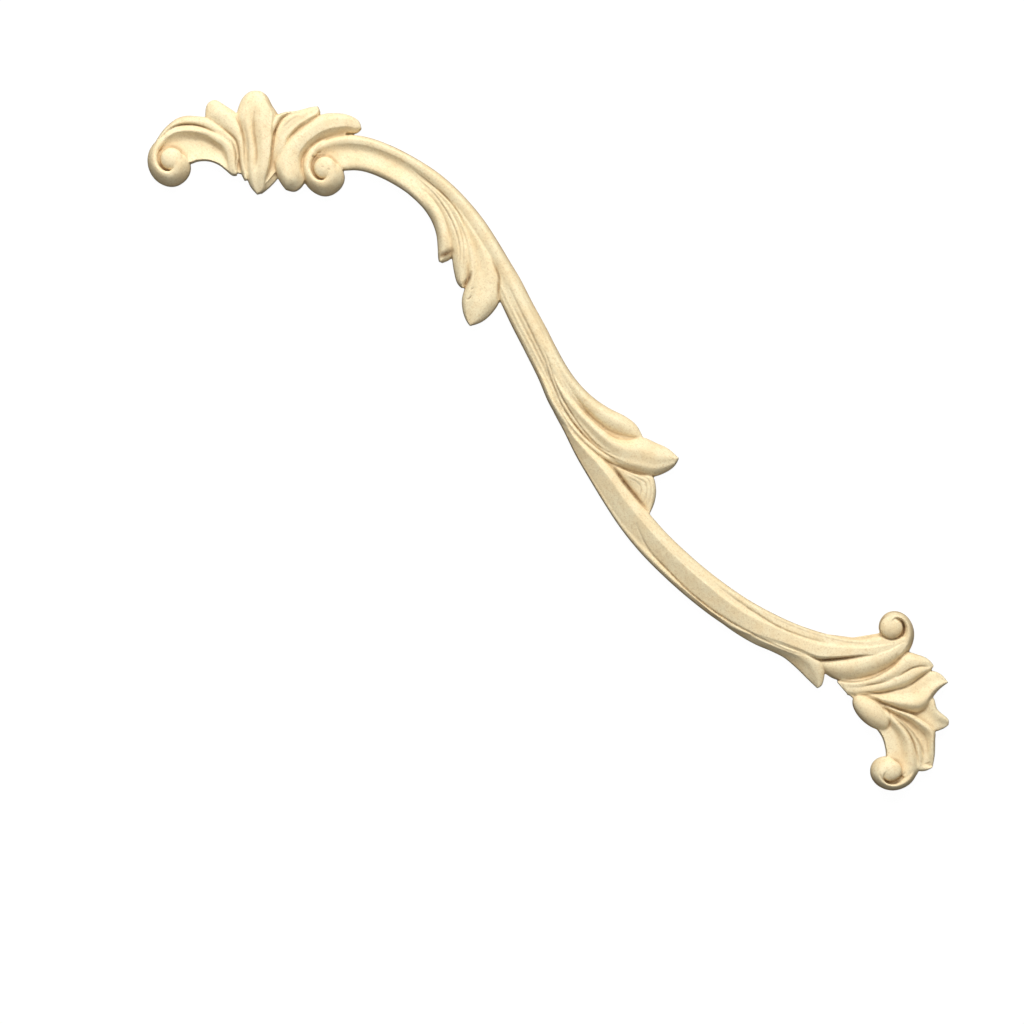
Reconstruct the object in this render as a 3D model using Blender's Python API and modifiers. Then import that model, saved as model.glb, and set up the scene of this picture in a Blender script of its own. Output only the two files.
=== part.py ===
"""Bendable wood onlay: a carved S-scroll with two leafy ends, moulded as one flat-backed piece.

The part lies on its back in the plane z = 0 with its length along X. The tables below are in
millimetres, in the plane of the back; heights are measured up from it.
"""
import bpy
import bmesh
import numpy as np
from mathutils import Matrix

MM = 0.001              # one millimetre, in metres
DRAFT = 0.07            # lean of the walls, per mm of height, which lets the casting leave its mould
FOOT = -2.0             # the forms start below the back, where the joined body is sawn flat
ROWS = 72               # sections along a form
STEPS = 7               # points between two lines of a section
SPIRAL_POINTS = 28      # points along a volute's ridge
VOXEL = 0.45            # grain at which the forms are fused into one body
TRIANGLES = 9600        # faces kept of the fused body
BACK_SNAP = 0.12        # faces that end this near the back are laid into it
SHARP_ANGLE = 50.0      # degrees above which an edge is shaded sharp
CREAM = (0.87, 0.76, 0.56, 1.0)


def smooth_line(points, count):
    """Evenly spaced points on a smooth curve through the given ones."""
    p = np.asarray(points, float)
    gap = np.sqrt(np.linalg.norm(np.diff(p, axis=0), axis=1)) + 1e-9
    slope = np.diff(p, axis=0) / gap[:, None]
    tangent = np.empty_like(p)
    weight = gap[1:, None] / (gap[:-1] + gap[1:])[:, None]
    tangent[1:-1] = slope[:-1] * weight + slope[1:] * (1 - weight)
    tangent[0] = 1.5 * slope[0] - 0.5 * tangent[1]
    tangent[-1] = 1.5 * slope[-1] - 0.5 * tangent[-2]
    u = np.linspace(0, 1, 40, endpoint=False)[:, None]
    curve = [cubic(u, p[i], p[i + 1], gap[i] * tangent[i], gap[i] * tangent[i + 1])
             for i in range(len(p) - 1)]
    curve = np.concatenate(curve + [p[-1:]])
    run = np.concatenate([[0.0], np.cumsum(np.linalg.norm(np.diff(curve, axis=0), axis=1))])
    at = np.linspace(0, run[-1], count)
    return np.stack([np.interp(at, run, curve[:, 0]), np.interp(at, run, curve[:, 1])], axis=1)


def cubic(u, start, end, start_tangent, end_tangent):
    """Cubic blend between two values with a given slope at each."""
    return ((2 * u**3 - 3 * u**2 + 1) * start + (u**3 - 2 * u**2 + u) * start_tangent
            + (3 * u**2 - 2 * u**3) * end + (u**3 - u**2) * end_tangent)


def along(values, count):
    """One number, or a few evenly spaced along a form, as a smooth run that never overshoots them."""
    v = np.atleast_1d(np.asarray(values, float))
    if len(v) == 1:
        return np.full(count, v[0])
    step = np.diff(v)
    slope = np.concatenate([step[:1], (step[:-1] + step[1:]) / 2, step[-1:]])
    for i in range(1, len(step)):
        limit = 3 * min(abs(step[i - 1]), abs(step[i]))
        slope[i] = np.clip(slope[i], -limit, limit) if step[i - 1] * step[i] > 0 else 0
    s = np.linspace(0, len(v) - 1, count)
    i = np.clip(s.astype(int), 0, len(v) - 2)
    return cubic(s - i, v[i], v[i + 1], slope[i], slope[i + 1])


def ease(u, level_start, level_end):
    """Blend from 0 to 1 that runs out level at a rounded line and stays steep at a crisp one."""
    if level_start and level_end:
        return u * u * (3 - 2 * u)
    if level_end:
        return 1 - (1 - u) ** 2
    return u * u if level_start else u


def crisp(across, height):
    """A crisp line along a form: an edge, an arris or the bottom of a cut."""
    return across, height, False


def soft(across, height):
    """A rounded line along a form: the top of a swelling or the floor of a hollow."""
    return across, height, True


def skin(left, right, lines):
    """Points over a form, section by section: up the left wall, across its lines, down the right one."""
    a, b = smooth_line(left, ROWS), smooth_line(right, ROWS)
    width = np.maximum(np.linalg.norm(b - a, axis=1), 1e-6)
    place, high = [], []
    for across, height, _ in lines:
        z = along(height, ROWS)
        lean = np.minimum(DRAFT * z / width, 0.45)
        place.append(lean + along(across, ROWS) * (1 - 2 * lean))
        high.append(z)
    column = [(0, FOOT), (0, 0)]
    for k in range(len(lines) - 1):
        for u in np.arange(STEPS) / STEPS:
            rise = ease(u, lines[k][2], lines[k + 1][2])
            column.append((place[k] + (place[k + 1] - place[k]) * u,
                           high[k] + (high[k + 1] - high[k]) * rise))
    column += [(place[-1], high[-1]), (1, 0), (1, FOOT)]
    points = [np.column_stack([a + (b - a) * np.reshape(t, (-1, 1)), np.broadcast_to(z, ROWS)])
              for t, z in column]
    return np.stack(points, axis=1)


def around(eye, start, end, radius):
    """Points of a spiral round an eye, from one angle to another in degrees."""
    a = np.radians(np.linspace(start, end, SPIRAL_POINTS))
    return np.array(eye) + np.stack([np.cos(a), np.sin(a)], axis=1) * along(radius, SPIRAL_POINTS)[:, None]


def loft(work, left, right, lines):
    """Closed form between two edge curves, with its section given by the lines along it."""
    points = skin(left, right, lines)
    rows, columns = points.shape[:2]
    verts = [[work.verts.new(p * MM) for p in section] for section in points]
    for i in range(rows - 1):
        for j in range(columns):
            k = (j + 1) % columns
            work.faces.new((verts[i][j], verts[i][k], verts[i + 1][k], verts[i + 1][j]))
    work.faces.new(verts[0])
    work.faces.new(reversed(verts[-1]))


def dome(work, centre, radii, turn, skirt, top):
    """Upper half of an ellipsoid on a straight foot: an eye, a bead or a low disc."""
    rings = [(1, FOOT)] + [(np.cos(a), skirt + (top - skirt) * np.sin(a))
                           for a in np.radians(range(0, 86, 5))]
    across, ahead = np.radians(turn), np.radians(turn + 90)
    verts = []
    for size, z in rings:
        ring = []
        for a in np.radians(range(0, 360, 7)):
            u, v = radii[0] * size * np.cos(a), radii[1] * size * np.sin(a)
            x = centre[0] + u * np.cos(across) + v * np.cos(ahead)
            y = centre[1] + u * np.sin(across) + v * np.sin(ahead)
            ring.append(work.verts.new((x * MM, y * MM, z * MM)))
        verts.append(ring)
    for low, high in zip(verts, verts[1:]):
        for i in range(len(low)):
            work.faces.new((low[i - 1], low[i], high[i], high[i - 1]))
    work.faces.new(reversed(verts[0]))
    work.faces.new(verts[-1])


def plate(work, outline, top):
    """Flat plate under a group of leaves."""
    face = work.faces.new([work.verts.new((x * MM, y * MM, FOOT * MM)) for x, y in outline])
    raised = bmesh.ops.extrude_face_region(work, geom=[face])['geom']
    corners = [v for v in raised if isinstance(v, bmesh.types.BMVert)]
    bmesh.ops.translate(work, verts=corners, vec=(0, 0, (top - FOOT) * MM))


def scroll_eye(work, eye, start, end, outer, inner, rim, crest, inside, ball, low):
    """A volute: a ridge that winds round its eye, runs up into it and closes over it like a snail's shell.

    The four runs of numbers hold the outer radius, the inner radius, the height of the outer edge, the
    place and height of the ridge's top and the height of its inner edge. ball holds the radius, the foot
    and the top of the eye; low shifts the floor of the crease away from the eye's centre.
    """
    loft(work, around(eye, start, end, outer), around(eye, start, end, inner),
         [crisp(0, rim), soft(*crest), crisp(1, inside)])
    dome(work, eye, (ball[0], ball[0]), 0, ball[1], ball[2])
    dome(work, (eye[0] + low[0], eye[1] + low[1]), (4.5, 4.5), 0, 4.8, 5.1)


def open_scroll(work, eye, outer):
    """The volute that closes a hook or an arc at the left end, in steps of 30 degrees from 130."""
    scroll_eye(work, eye, 130, 460, outer + (6.4, 4.7, 3.6),
               (7.6, 6, 5.4, 5.1, 5, 4.8, 3.8, 1.4, -1, -1.5, -1.5, -1.5),
               (2.8, 3, 3.2, 3.2, 3.2, 3.2, 3.2, 3.2, 3.2, 3.8, 5, 5.8),
               ((0.36, 0.5, 0.6, 0.68, 0.76, 0.82, 0.86, 0.9, 0.92, 0.95),
                (5.4, 6, 6.5, 7, 7.4, 7.8, 8.2, 8.5, 8.6, 8.6)),
               (4.4, 4.7, 5.2, 5.6, 5.9, 6.4, 7.8, 8.4, 8.6, 8.6), (4.2, 6.2, 8.7), (-0.6, -0.6))


def left_fleuron(work):
    # thin ground that ties the leaves together
    plate(work, [(-182, 0), (-173, 2), (-172, 12), (-165, 13), (-158, 13), (-152, 22), (-148, 20), (-146, 26),
                 (-140, 27), (-136, 26.5), (-134, 12), (-138, 2), (-147, -2), (-147, -11), (-155, -11),
                 (-158, -12.5), (-161, -11), (-166, -7), (-176, -6.5), (-184, -8), (-179, -3)], 4.2)
    # hook: an outer strip, a cut, a rim and a wide gouge
    loft(work,
         [(-157.5, -13.3), (-160.1, -9.4), (-162.6, -6), (-166, -3.6), (-170.5, -2.5), (-175, -2.8),
          (-180, -3.4),
          (-183.8, -5.7), (-187, -8.2), (-189, -11.1), (-190, -15), (-190.2, -19.5), (-189.1, -26)],
         [(-157.5, -13.3), (-158.8, -14.4), (-162.4, -14.5), (-165.1, -14.6), (-168.2, -15.5), (-170.6, -17),
          (-172.6, -19.1), (-173.9, -21.2), (-178, -23.5), (-181, -25)],
         [crisp(0, (4.8, 4.8, 4.4, 3.8, 3.4, 3.4, 3.2)),
          soft((0.15, 0.12, 0.12, 0.13, 0.12, 0.08, 0.04), (5, 5.5, 5.8, 6, 6, 5.9, 4.8)),
          soft((0.3, 0.22, 0.22, 0.25, 0.22, 0.14, 0.07), (4.9, 5.3, 5.7, 5.8, 5.6, 5.4, 4.5)),
          soft((0.45, 0.36, 0.34, 0.36, 0.32, 0.22, 0.12), (5.2, 5.9, 6.3, 6.5, 6.5, 6.2, 5)),
          crisp((0.96, 0.93, 0.82, 0.6, 0.48, 0.46, 0.44, 0.4, 0.36, 0.31, 0.27, 0.23, 0.18),
                (4.8, 4.9, 5.2, 5.6, 5.8, 5.9, 6, 6, 6, 5.9, 5.8, 5.4, 4.2)),
          soft((0.98, 0.96, 0.9, 0.76, 0.66, 0.62, 0.6, 0.57, 0.54, 0.5, 0.47, 0.44, 0.4),
               (4.7, 4.8, 4.8, 4.3, 3.9, 3.8, 3.8, 3.8, 3.8, 3.9, 4, 4.1, 3.8)),
          crisp(1, (4.4, 4.6, 4.8, 4.9, 5, 4.6, 3.8))])
    open_scroll(work, (-180.3, -24.6), (10.8, 9.6, 9.4, 9.4, 9.6, 10, 10.3, 9.5, 8.2))
    # small rounded leaf above the hook
    loft(work,
         [(-183.6, 1), (-182.4, 3.5), (-178, 4.4), (-173, 4.8), (-170, 3.6), (-166, 1), (-161.5, -2.8),
          (-157, -7.4),
          (-153.2, -11.8)],
         [(-183.6, 1), (-183.2, -1.2), (-180.4, -4.2), (-175, -4), (-169.5, -3.7), (-165, -5), (-161, -8.4),
          (-157.6, -11.2), (-154, -13)],
         [crisp(0, (3.5, 3.5, 4.6, 5.2, 5)), soft((0.42, 0.42, 0.45, 0.5, 0.5), (3.6, 6.2, 6.3, 6.1, 5.4)),
          crisp(1, (3.4, 4.2, 4.8, 5, 4.6))])
    # lens-shaped leaf across the fleuron: two lobes with a cut between them
    loft(work,
         [(-171.4, 17), (-174.3, 14.4), (-175, 11), (-174, 7.2), (-172.2, 4), (-168.7, 1.6), (-165.4, -0.6),
          (-162, -3.6), (-158.8, -7.2), (-155, -10.8), (-151, -13.2), (-146.9, -13.9)],
         [(-171.4, 17), (-168.4, 17.4), (-164.6, 15.9), (-159.8, 14.1), (-157, 9), (-154.6, 5.2),
          (-150, -1.8),
          (-147.4, -7.4), (-145.6, -10.8), (-146.9, -13.9)],
         [crisp(0, (3.4, 3.8, 4.6, 4.2, 3.4)), soft((0.22, 0.22, 0.24, 0.26, 0.3), (3.6, 6.1, 6.6, 6.4, 3.8)),
          soft((0.38, 0.4, 0.41, 0.45, 0.5), (3.6, 6.4, 6.2, 6.2, 3.8)),
          soft((0.6, 0.62, 0.66, 0.74, 0.74), (3.6, 7, 7.5, 7.1, 3.8)),
          crisp((0.74, 0.86, 0.88, 0.95, 0.94, 0.92, 0.86), (3.5, 6.7, 7.3, 7.5, 7, 5.8, 3.6)),
          crisp(1, (3.4, 3.4, 3.6, 4.4, 4.4, 3.8, 3.4))])
    # leaf that peeps out behind its point
    loft(work, [(-152, 2), (-149, -5), (-146.4, -12.3)], [(-149, 2), (-145.2, -3.3), (-145, -8),
                                                          (-145.8, -12.5)],
         [crisp(0, 4.4), crisp(1, 2.4)])
    # narrow leaf beside the lens
    loft(work,
         [(-154.6, 21.6), (-157.4, 18.8), (-159.4, 16.6), (-161, 13), (-159.6, 9), (-156.8, 4.4),
          (-152, -1.6)],
         [(-154.6, 21.6), (-155.6, 19.2), (-157, 17), (-157.9, 14.2), (-157.5, 10.6), (-155.6, 6), (-151, 1)],
         [crisp(0, (3.8, 4.2, 4.8, 4.8, 4)), soft(0.45, (4, 6, 6.2, 5.8, 4)),
          crisp(1, (4.2, 5.3, 5.5, 5.2, 4))])
    # ribbed leaf with a pointed tip
    loft(work,
         [(-150.8, 26.8), (-152.8, 24.6), (-154.8, 21.8), (-157.2, 18), (-158.2, 14.4), (-157.7, 10.6),
          (-155.8, 6),
          (-151.2, -1.5)],
         [(-150.8, 26.8), (-148.3, 25), (-148.5, 21), (-150.2, 15), (-150.7, 10), (-149, 5), (-147, 0)],
         [crisp(0, (4, 5.2, 5.4, 5, 4)), soft(0.4, (4.2, 6.4, 6.7, 6.2, 4.2)),
          soft(0.62, (4.2, 6.3, 6.5, 6.2, 4.2)), soft(0.8, (4.2, 6.5, 6.7, 6.4, 4.2)),
          crisp(1, (3.8, 4.6, 5, 5.2, 4.2))])
    # tall S-shaped leaf that ends below in a bulb
    loft(work,
         [(-132.6, 30.8), (-135.4, 32.5), (-140, 31.7), (-145, 28.4), (-148, 25), (-149.3, 21), (-150.6, 16),
          (-151.5, 11), (-151.2, 5), (-149.8, 0), (-147, -2.8), (-143.5, -4.6), (-139.8, -5.5)],
         [(-132.6, 30.8), (-133, 28.4), (-136, 25.5), (-140, 20.5), (-142.2, 16), (-143, 11), (-142, 7),
          (-139.5, 4.5), (-136.6, 2.3), (-135.8, -0.5), (-136.6, -3.7), (-139.8, -5.5)],
         [crisp(0, (4, 4.6, 4.8, 4.8, 5, 4.6, 3.2)),
          soft((0.3, 0.3, 0.34, 0.38, 0.4, 0.44, 0.5), (4.4, 6.7, 7.4, 7.6, 7.9, 8.3, 4.2)),
          crisp((0.6, 0.7, 0.74, 0.78, 0.8, 0.76, 0.6), (4.3, 6.7, 7.2, 7.2, 7, 7, 4)),
          crisp(1, (3.6, 4.2, 4.6, 4.8, 4.8, 4.2, 3.2))])


def first_arc(work):
    # the arched stem, which straightens to the right: a rounded rim above a gouged channel
    loft(work,
         [(-143, 10), (-141.5, 17), (-137, 24), (-130, 29.3), (-120, 33.2), (-110, 35.5), (-100, 36.8),
          (-92, 36.8),
          (-84, 36), (-75, 34.3), (-65, 31.3), (-57, 28.5), (-50, 26.1), (-40, 21.9), (-30, 18), (-20, 13.7),
          (-10, 9.9), (0, 6), (12, 2)],
         [(-134, 10), (-128, 14), (-124, 17.5), (-120, 19.7), (-112, 22.1), (-103, 23.3), (-96, 22.9),
          (-90, 22),
          (-82, 20.5), (-74, 18.5), (-66, 17.5), (-57, 17.5), (-50, 14.4), (-40, 9.8), (-30, 5.6), (-20, 1.2),
          (-10, -3.8), (0, -6.7), (12, -7)],
         [crisp(0, (3.4, 3.4, 3.4, 3.4, 3.4, 3.6, 3.6, 3.6, 3.4)),
          soft((0.14, 0.12, 0.11, 0.11, 0.2, 0.3, 0.3, 0.3, 0.3), (5.4, 6.4, 6.5, 6.6, 6.9, 7, 7, 6.6, 4)),
          crisp((0.26, 0.25, 0.23, 0.24, 0.42, 0.58, 0.6, 0.55, 0.5),
                (4.4, 6.1, 6.2, 6.2, 6.3, 6.3, 6.2, 5.2, 3.8)),
          soft((0.5, 0.46, 0.46, 0.52, 0.68, 0.76, 0.75, 0.72, 0.7),
               (3.9, 4.6, 4.7, 4.9, 5.4, 6, 6.1, 5.2, 3.8)),
          soft((0.88, 0.86, 0.86, 0.86, 0.88, 0.9), (3.9, 5.5, 5.6, 5.3, 4.8, 5.4, 5.5, 4.8, 3.6)),
          crisp(1, (3.8, 4.4, 4.3, 3.8, 3.8, 3.8, 3.8, 3.8, 3.6))])
    open_scroll(work, (-133.4, 10.3), (11.8, 10.5, 9.8, 9.4, 9.4, 9.9, 10.5, 9.8, 8.5))
    # three acanthus fingers that peel away below the stem
    loft(work,
         [(-112, 28), (-103, 29.2), (-94.7, 28.5), (-86.6, 26.2), (-81.5, 22.9), (-77.8, 20), (-75.3, 17.4),
          (-74.8, 14.6), (-76.2, 11.4)],
         [(-112, 23.4), (-103, 23.3), (-96, 22.9), (-90, 21.2), (-85, 18.3), (-81, 14.4), (-79, 12.2),
          (-77.6, 11)],
         [crisp(0, (3.4, 4.8, 5.2, 4.6, 2.4)), soft((0.5, 0.55, 0.52, 0.7), (4, 5.4, 6.1, 6.2, 4.4)),
          crisp(1, (3.4, 3.8, 3.6, 3.6, 3.2))])
    loft(work,
         [(-110, 31.6), (-100, 32), (-93, 31.6), (-85, 29.6), (-78, 26.4), (-71.6, 22.6), (-67, 17.9),
          (-63.4, 12.9),
          (-63.4, 9.6)],
         [(-110, 29.2), (-102, 28.8), (-95, 27.9), (-87, 25.4), (-81.5, 21.5), (-75.2, 15.8), (-71, 12),
          (-67, 9.2), (-64.6, 8.8)],
         [crisp(0, (3.4, 4.8, 5.6, 5, 1.2)), soft((0.5, 0.45, 0.45, 0.65), (4, 5.4, 6.2, 6.7, 5)),
          crisp(1, (3.4, 4.8, 5.2, 4.4, 3.2))])
    loft(work,
         [(-106, 33.2), (-96, 33.4), (-88, 32.6), (-80, 31), (-72, 28.8), (-64, 26.1), (-58, 22.9),
          (-53.5, 18.6),
          (-50.3, 14.6), (-49.4, 9.5), (-50.2, 4), (-52.7, -0.2)],
         [(-106, 30.8), (-94, 30.4), (-85.4, 28.4), (-78.6, 25.2), (-72.9, 21.2), (-68.4, 16.8),
          (-64.6, 11.8),
          (-61.6, 5.6), (-58.2, 2.2), (-55, 0.4), (-52.7, -0.2)],
         [crisp(0, (3.4, 5, 5.6, 5.4, 4, 3)), soft((0.4, 0.35, 0.3, 0.3), (4, 5.4, 6, 6.4, 6.3, 3.2)),
          soft((0.55, 0.6, 0.64, 0.66), (4, 5.3, 5.5, 5.4, 5.4, 3.2)),
          soft((0.75, 0.8, 0.84, 0.86), (4, 5.6, 6.4, 6.5, 6, 3.2)), crisp(1, (3.4, 4.8, 5.4, 5, 3.8, 3))])
    # low ground between the fingers
    plate(work, [(-88, 26), (-79, 19.5), (-76, 17.8), (-70, 15.6), (-66.8, 14.6), (-66.5, 18),
                 (-73, 25)], 4.6)
    plate(work, [(-90, 25), (-80, 18.5), (-77, 17.4), (-75, 16.5), (-70, 15), (-66, 13), (-63.6, 11),
                 (-62, 20),
                 (-70, 26)], 3.4)
    plate(work, [(-80, 19), (-78.5, 11.8), (-77.4, 11.4), (-76, 13), (-75.2, 15), (-75.2, 18)], 1.8)


def middle(work):
    # upper strand, which swells into a humped leaf with a scooped side
    loft(work,
         [(-36, 20.3), (-24, 15.4), (-15, 11.9), (-9, 10.2), (-4, 9.4), (2, 9.2), (8, 9.9), (15, 11.5),
          (20, 11.6),
          (25.4, 9.4)],
         [(-36, 15.4), (-26, 10.4), (-20, 7.7), (-10, 4), (0, 1.8), (10, 0.4), (17, 1), (22, 4), (25.8, 8.6)],
         [crisp(0, (3.2, 3.6, 3.6, 3.7, 3.6)), soft((0.4, 0.38, 0.32, 0.32, 0.3), (4.6, 7, 7.1, 6.9, 4)),
          crisp((0.8, 0.74, 0.66, 0.62, 0.6), (4.4, 6.4, 6.4, 5.9, 3.9)),
          soft((0.9, 0.88, 0.84, 0.8), (4.2, 5.6, 5.2, 4.8, 3.8)), crisp(1, (4, 5.2, 5, 4.8, 3.8))])
    # middle strand, which swells into the pointed leaf
    loft(work,
         [(-36, 14.6), (-26, 10.6), (-20, 8.3), (-10, 4.9), (0, 3), (10, 2.2), (17, 2.9), (21, 5.2),
          (25, 9.6),
          (30, 11.2), (35, 12.5), (40.6, 12.3)],
         [(-36, 11.4), (-26, 6.4), (-20, 3.6), (-10, -1.6), (0, -3.8), (10, -5), (18, -5.6), (25, -5.2),
          (31, -3.2),
          (37.2, 0.2), (40.2, 5), (41.2, 9), (40.6, 12.3)],
         [crisp(0, (4.2, 5.4, 5.2, 5, 4.4, 3.4)),
          soft((0.3, 0.28, 0.28, 0.27, 0.38, 0.5), (4.6, 6.6, 7, 7.6, 8, 4.4)),
          soft((0.62, 0.6, 0.62, 0.72, 0.74, 0.75), (4.4, 5.9, 6, 6.1, 7.3, 4.2)),
          crisp(1, (4, 5.2, 5.2, 4.8, 4, 3.4))])
    # lower strand, which runs out under the pointed leaf
    loft(work,
         [(-36, 11.1), (-26, 6.6), (-20, 4), (-10, -1), (0, -3.1), (10, -4.2), (20, -3.6), (30, -1)],
         [(-36, 8.2), (-26, 4), (-20, 1.3), (-10, -3.6), (0, -6.9), (10, -8.2), (17, -7.6), (25, -6),
          (33, -2.8)],
         [crisp(0, (3.8, 5, 5.2, 5, 3.8)), soft(0.4, (4, 5.8, 6.2, 6.2, 4)),
          crisp(1, (3.4, 4.2, 4.6, 4.4, 3.8))])
    # round leaf in the fork
    loft(work,
         [(18, -6), (25, -4.6), (33, -1.8), (37.2, 0.6), (41.2, -2), (44, -6), (45.5, -10.6)],
         [(18, -8), (25, -9.4), (31, -10.8), (38, -12.4), (45.6, -12.6)],
         [crisp(0, (4.4, 4.8, 4.6, 3.4)), soft(0.2, (4.6, 5.7, 5.9, 4.4)),
          crisp(0.84, (4.2, 3.7, 3.6, 3.8)), crisp(1, 4)])


def second_arc(work):
    # the lower arc of the stem, with a bead cut along each edge, up into the neck of the end volute
    loft(work,
         [(-14, 0), (-6, -2.8), (4, -5.8), (14, -6.2), (24, -6.9), (34, -9.2), (45, -11), (55, -12.5),
          (65, -13.2),
          (75, -13.4), (85, -13), (95, -12), (105, -10.1), (115, -7.4), (125, -3.5), (133, 0.7), (138, 4.6),
          (141.8, 9.2), (145, 11.8), (148.4, 14.4)],
         [(-14, -1.6), (-7, -5), (0, -7.8), (10, -12.2), (20, -15.8), (30, -19.2), (40, -22.2), (50, -24.3),
          (60, -25.5), (75, -26.2), (90, -25.7), (100, -24.2), (108, -21.3), (116, -17.8), (124, -14.8),
          (130, -12.8), (137, -6.8), (143, -1), (147.6, 3.6), (150.8, 8), (152.6, 12), (153, 15)],
         [crisp(0, (3.4, 4.8, 5, 4.6, 4.2, 4, 4, 5.6)),
          soft((0.16, 0.16, 0.15, 0.15, 0.13, 0.12, 0.16, 0.35), (3.6, 6, 6.6, 6.4, 6.1, 5.9, 6, 6.8)),
          soft((0.2, 0.22, 0.24, 0.25, 0.23, 0.22, 0.25, 0.5), (3.7, 6.4, 7, 6.9, 6.3, 5.8, 5.9, 7)),
          crisp((0.24, 0.3, 0.33, 0.34, 0.37, 0.46, 0.5, 0.6), (3.8, 6.7, 7.2, 7.1, 6.9, 6.6, 6.8, 7)),
          crisp((0.86, 0.86, 0.84, 0.82, 0.86, 0.88, 0.92, 0.9), (3.6, 4.6, 4.7, 4.5, 4.8, 6.5, 7, 6.6)),
          soft((0.93, 0.93, 0.92, 0.91, 0.93, 0.94, 0.96, 0.95), (3.6, 4.3, 4.3, 4.9, 5.1, 6.1, 6.5, 6.3)),
          crisp(1, (3.4, 3.8, 3.8, 3.6, 3.6, 5, 5.2, 5.6))])
    # spur below the neck
    loft(work,
         [(92, -23), (100, -21.2), (110, -18.4), (119.5, -15.6), (126.5, -12.6), (132, -12), (134.8, -14),
          (136.8, -16.9), (137.6, -19.2), (137, -21)],
         [(92, -25.4), (100, -24.8), (108, -23.4), (115, -21.3), (120, -20.2), (126, -20.2), (132, -20.7),
          (137, -21)],
         [crisp(0, (4.4, 5, 5.2, 4.8, 3.4)), soft((0.3, 0.28, 0.26, 0.3), (4.4, 5.4, 6.1, 6.2, 3.6)),
          crisp((0.6, 0.55, 0.5, 0.5), (4.3, 5.1, 5.8, 5.8, 3.6)), crisp(1, 3)])
    # outer lobe of the neck
    loft(work,
         [(130, -12.8), (133.4, -9.8), (136.5, -6.6), (139.6, -3.3), (142.6, 0), (146, 3.8), (148.8, 8.4),
          (150.4, 13)],
         [(131, -13.6), (135.3, -14.7), (140, -14), (145, -11), (150, -5.2), (153.2, 1), (154.4, 6.5),
          (154.6, 12)],
         [crisp(0, (4.2, 5, 6, 7.1, 7.2)), soft((0.35, 0.36, 0.33, 0.25, 0.25), (4.6, 6.4, 7, 7.3, 7.1)),
          crisp(1, 3.6)])
    scroll_eye(work, (143.6, 14.7), -35, 235, (13, 10.8, 9.2, 8, 7.2, 6.5, 5.8, 5.1, 4.7, 4.6),
               (5.8, 5.2, 4.9, 4.6, 4, 2.6, 0.6, -1, -1.5, -1.5), (3.2, 3.2, 3.2, 3.2, 3.4),
               ((0.35, 0.45, 0.55, 0.66, 0.78, 0.88, 0.95, 0.95), (6.9, 7.1, 7.4, 7.8, 8.2, 8.6, 8.7, 8.7)),
               (5.4, 5.4, 5.8, 6.6, 7.8, 8.5, 8.7, 8.7), (4.35, 6.2, 8.8), (0.9, 0))
    plate(work, [(128, -12.5), (142, -12.5), (150, -3), (152, 6), (151, 14), (146, 18), (141, 17),
                 (141.5, 10),
                 (135, 2.4), (125, -4)], 4.4)


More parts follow.
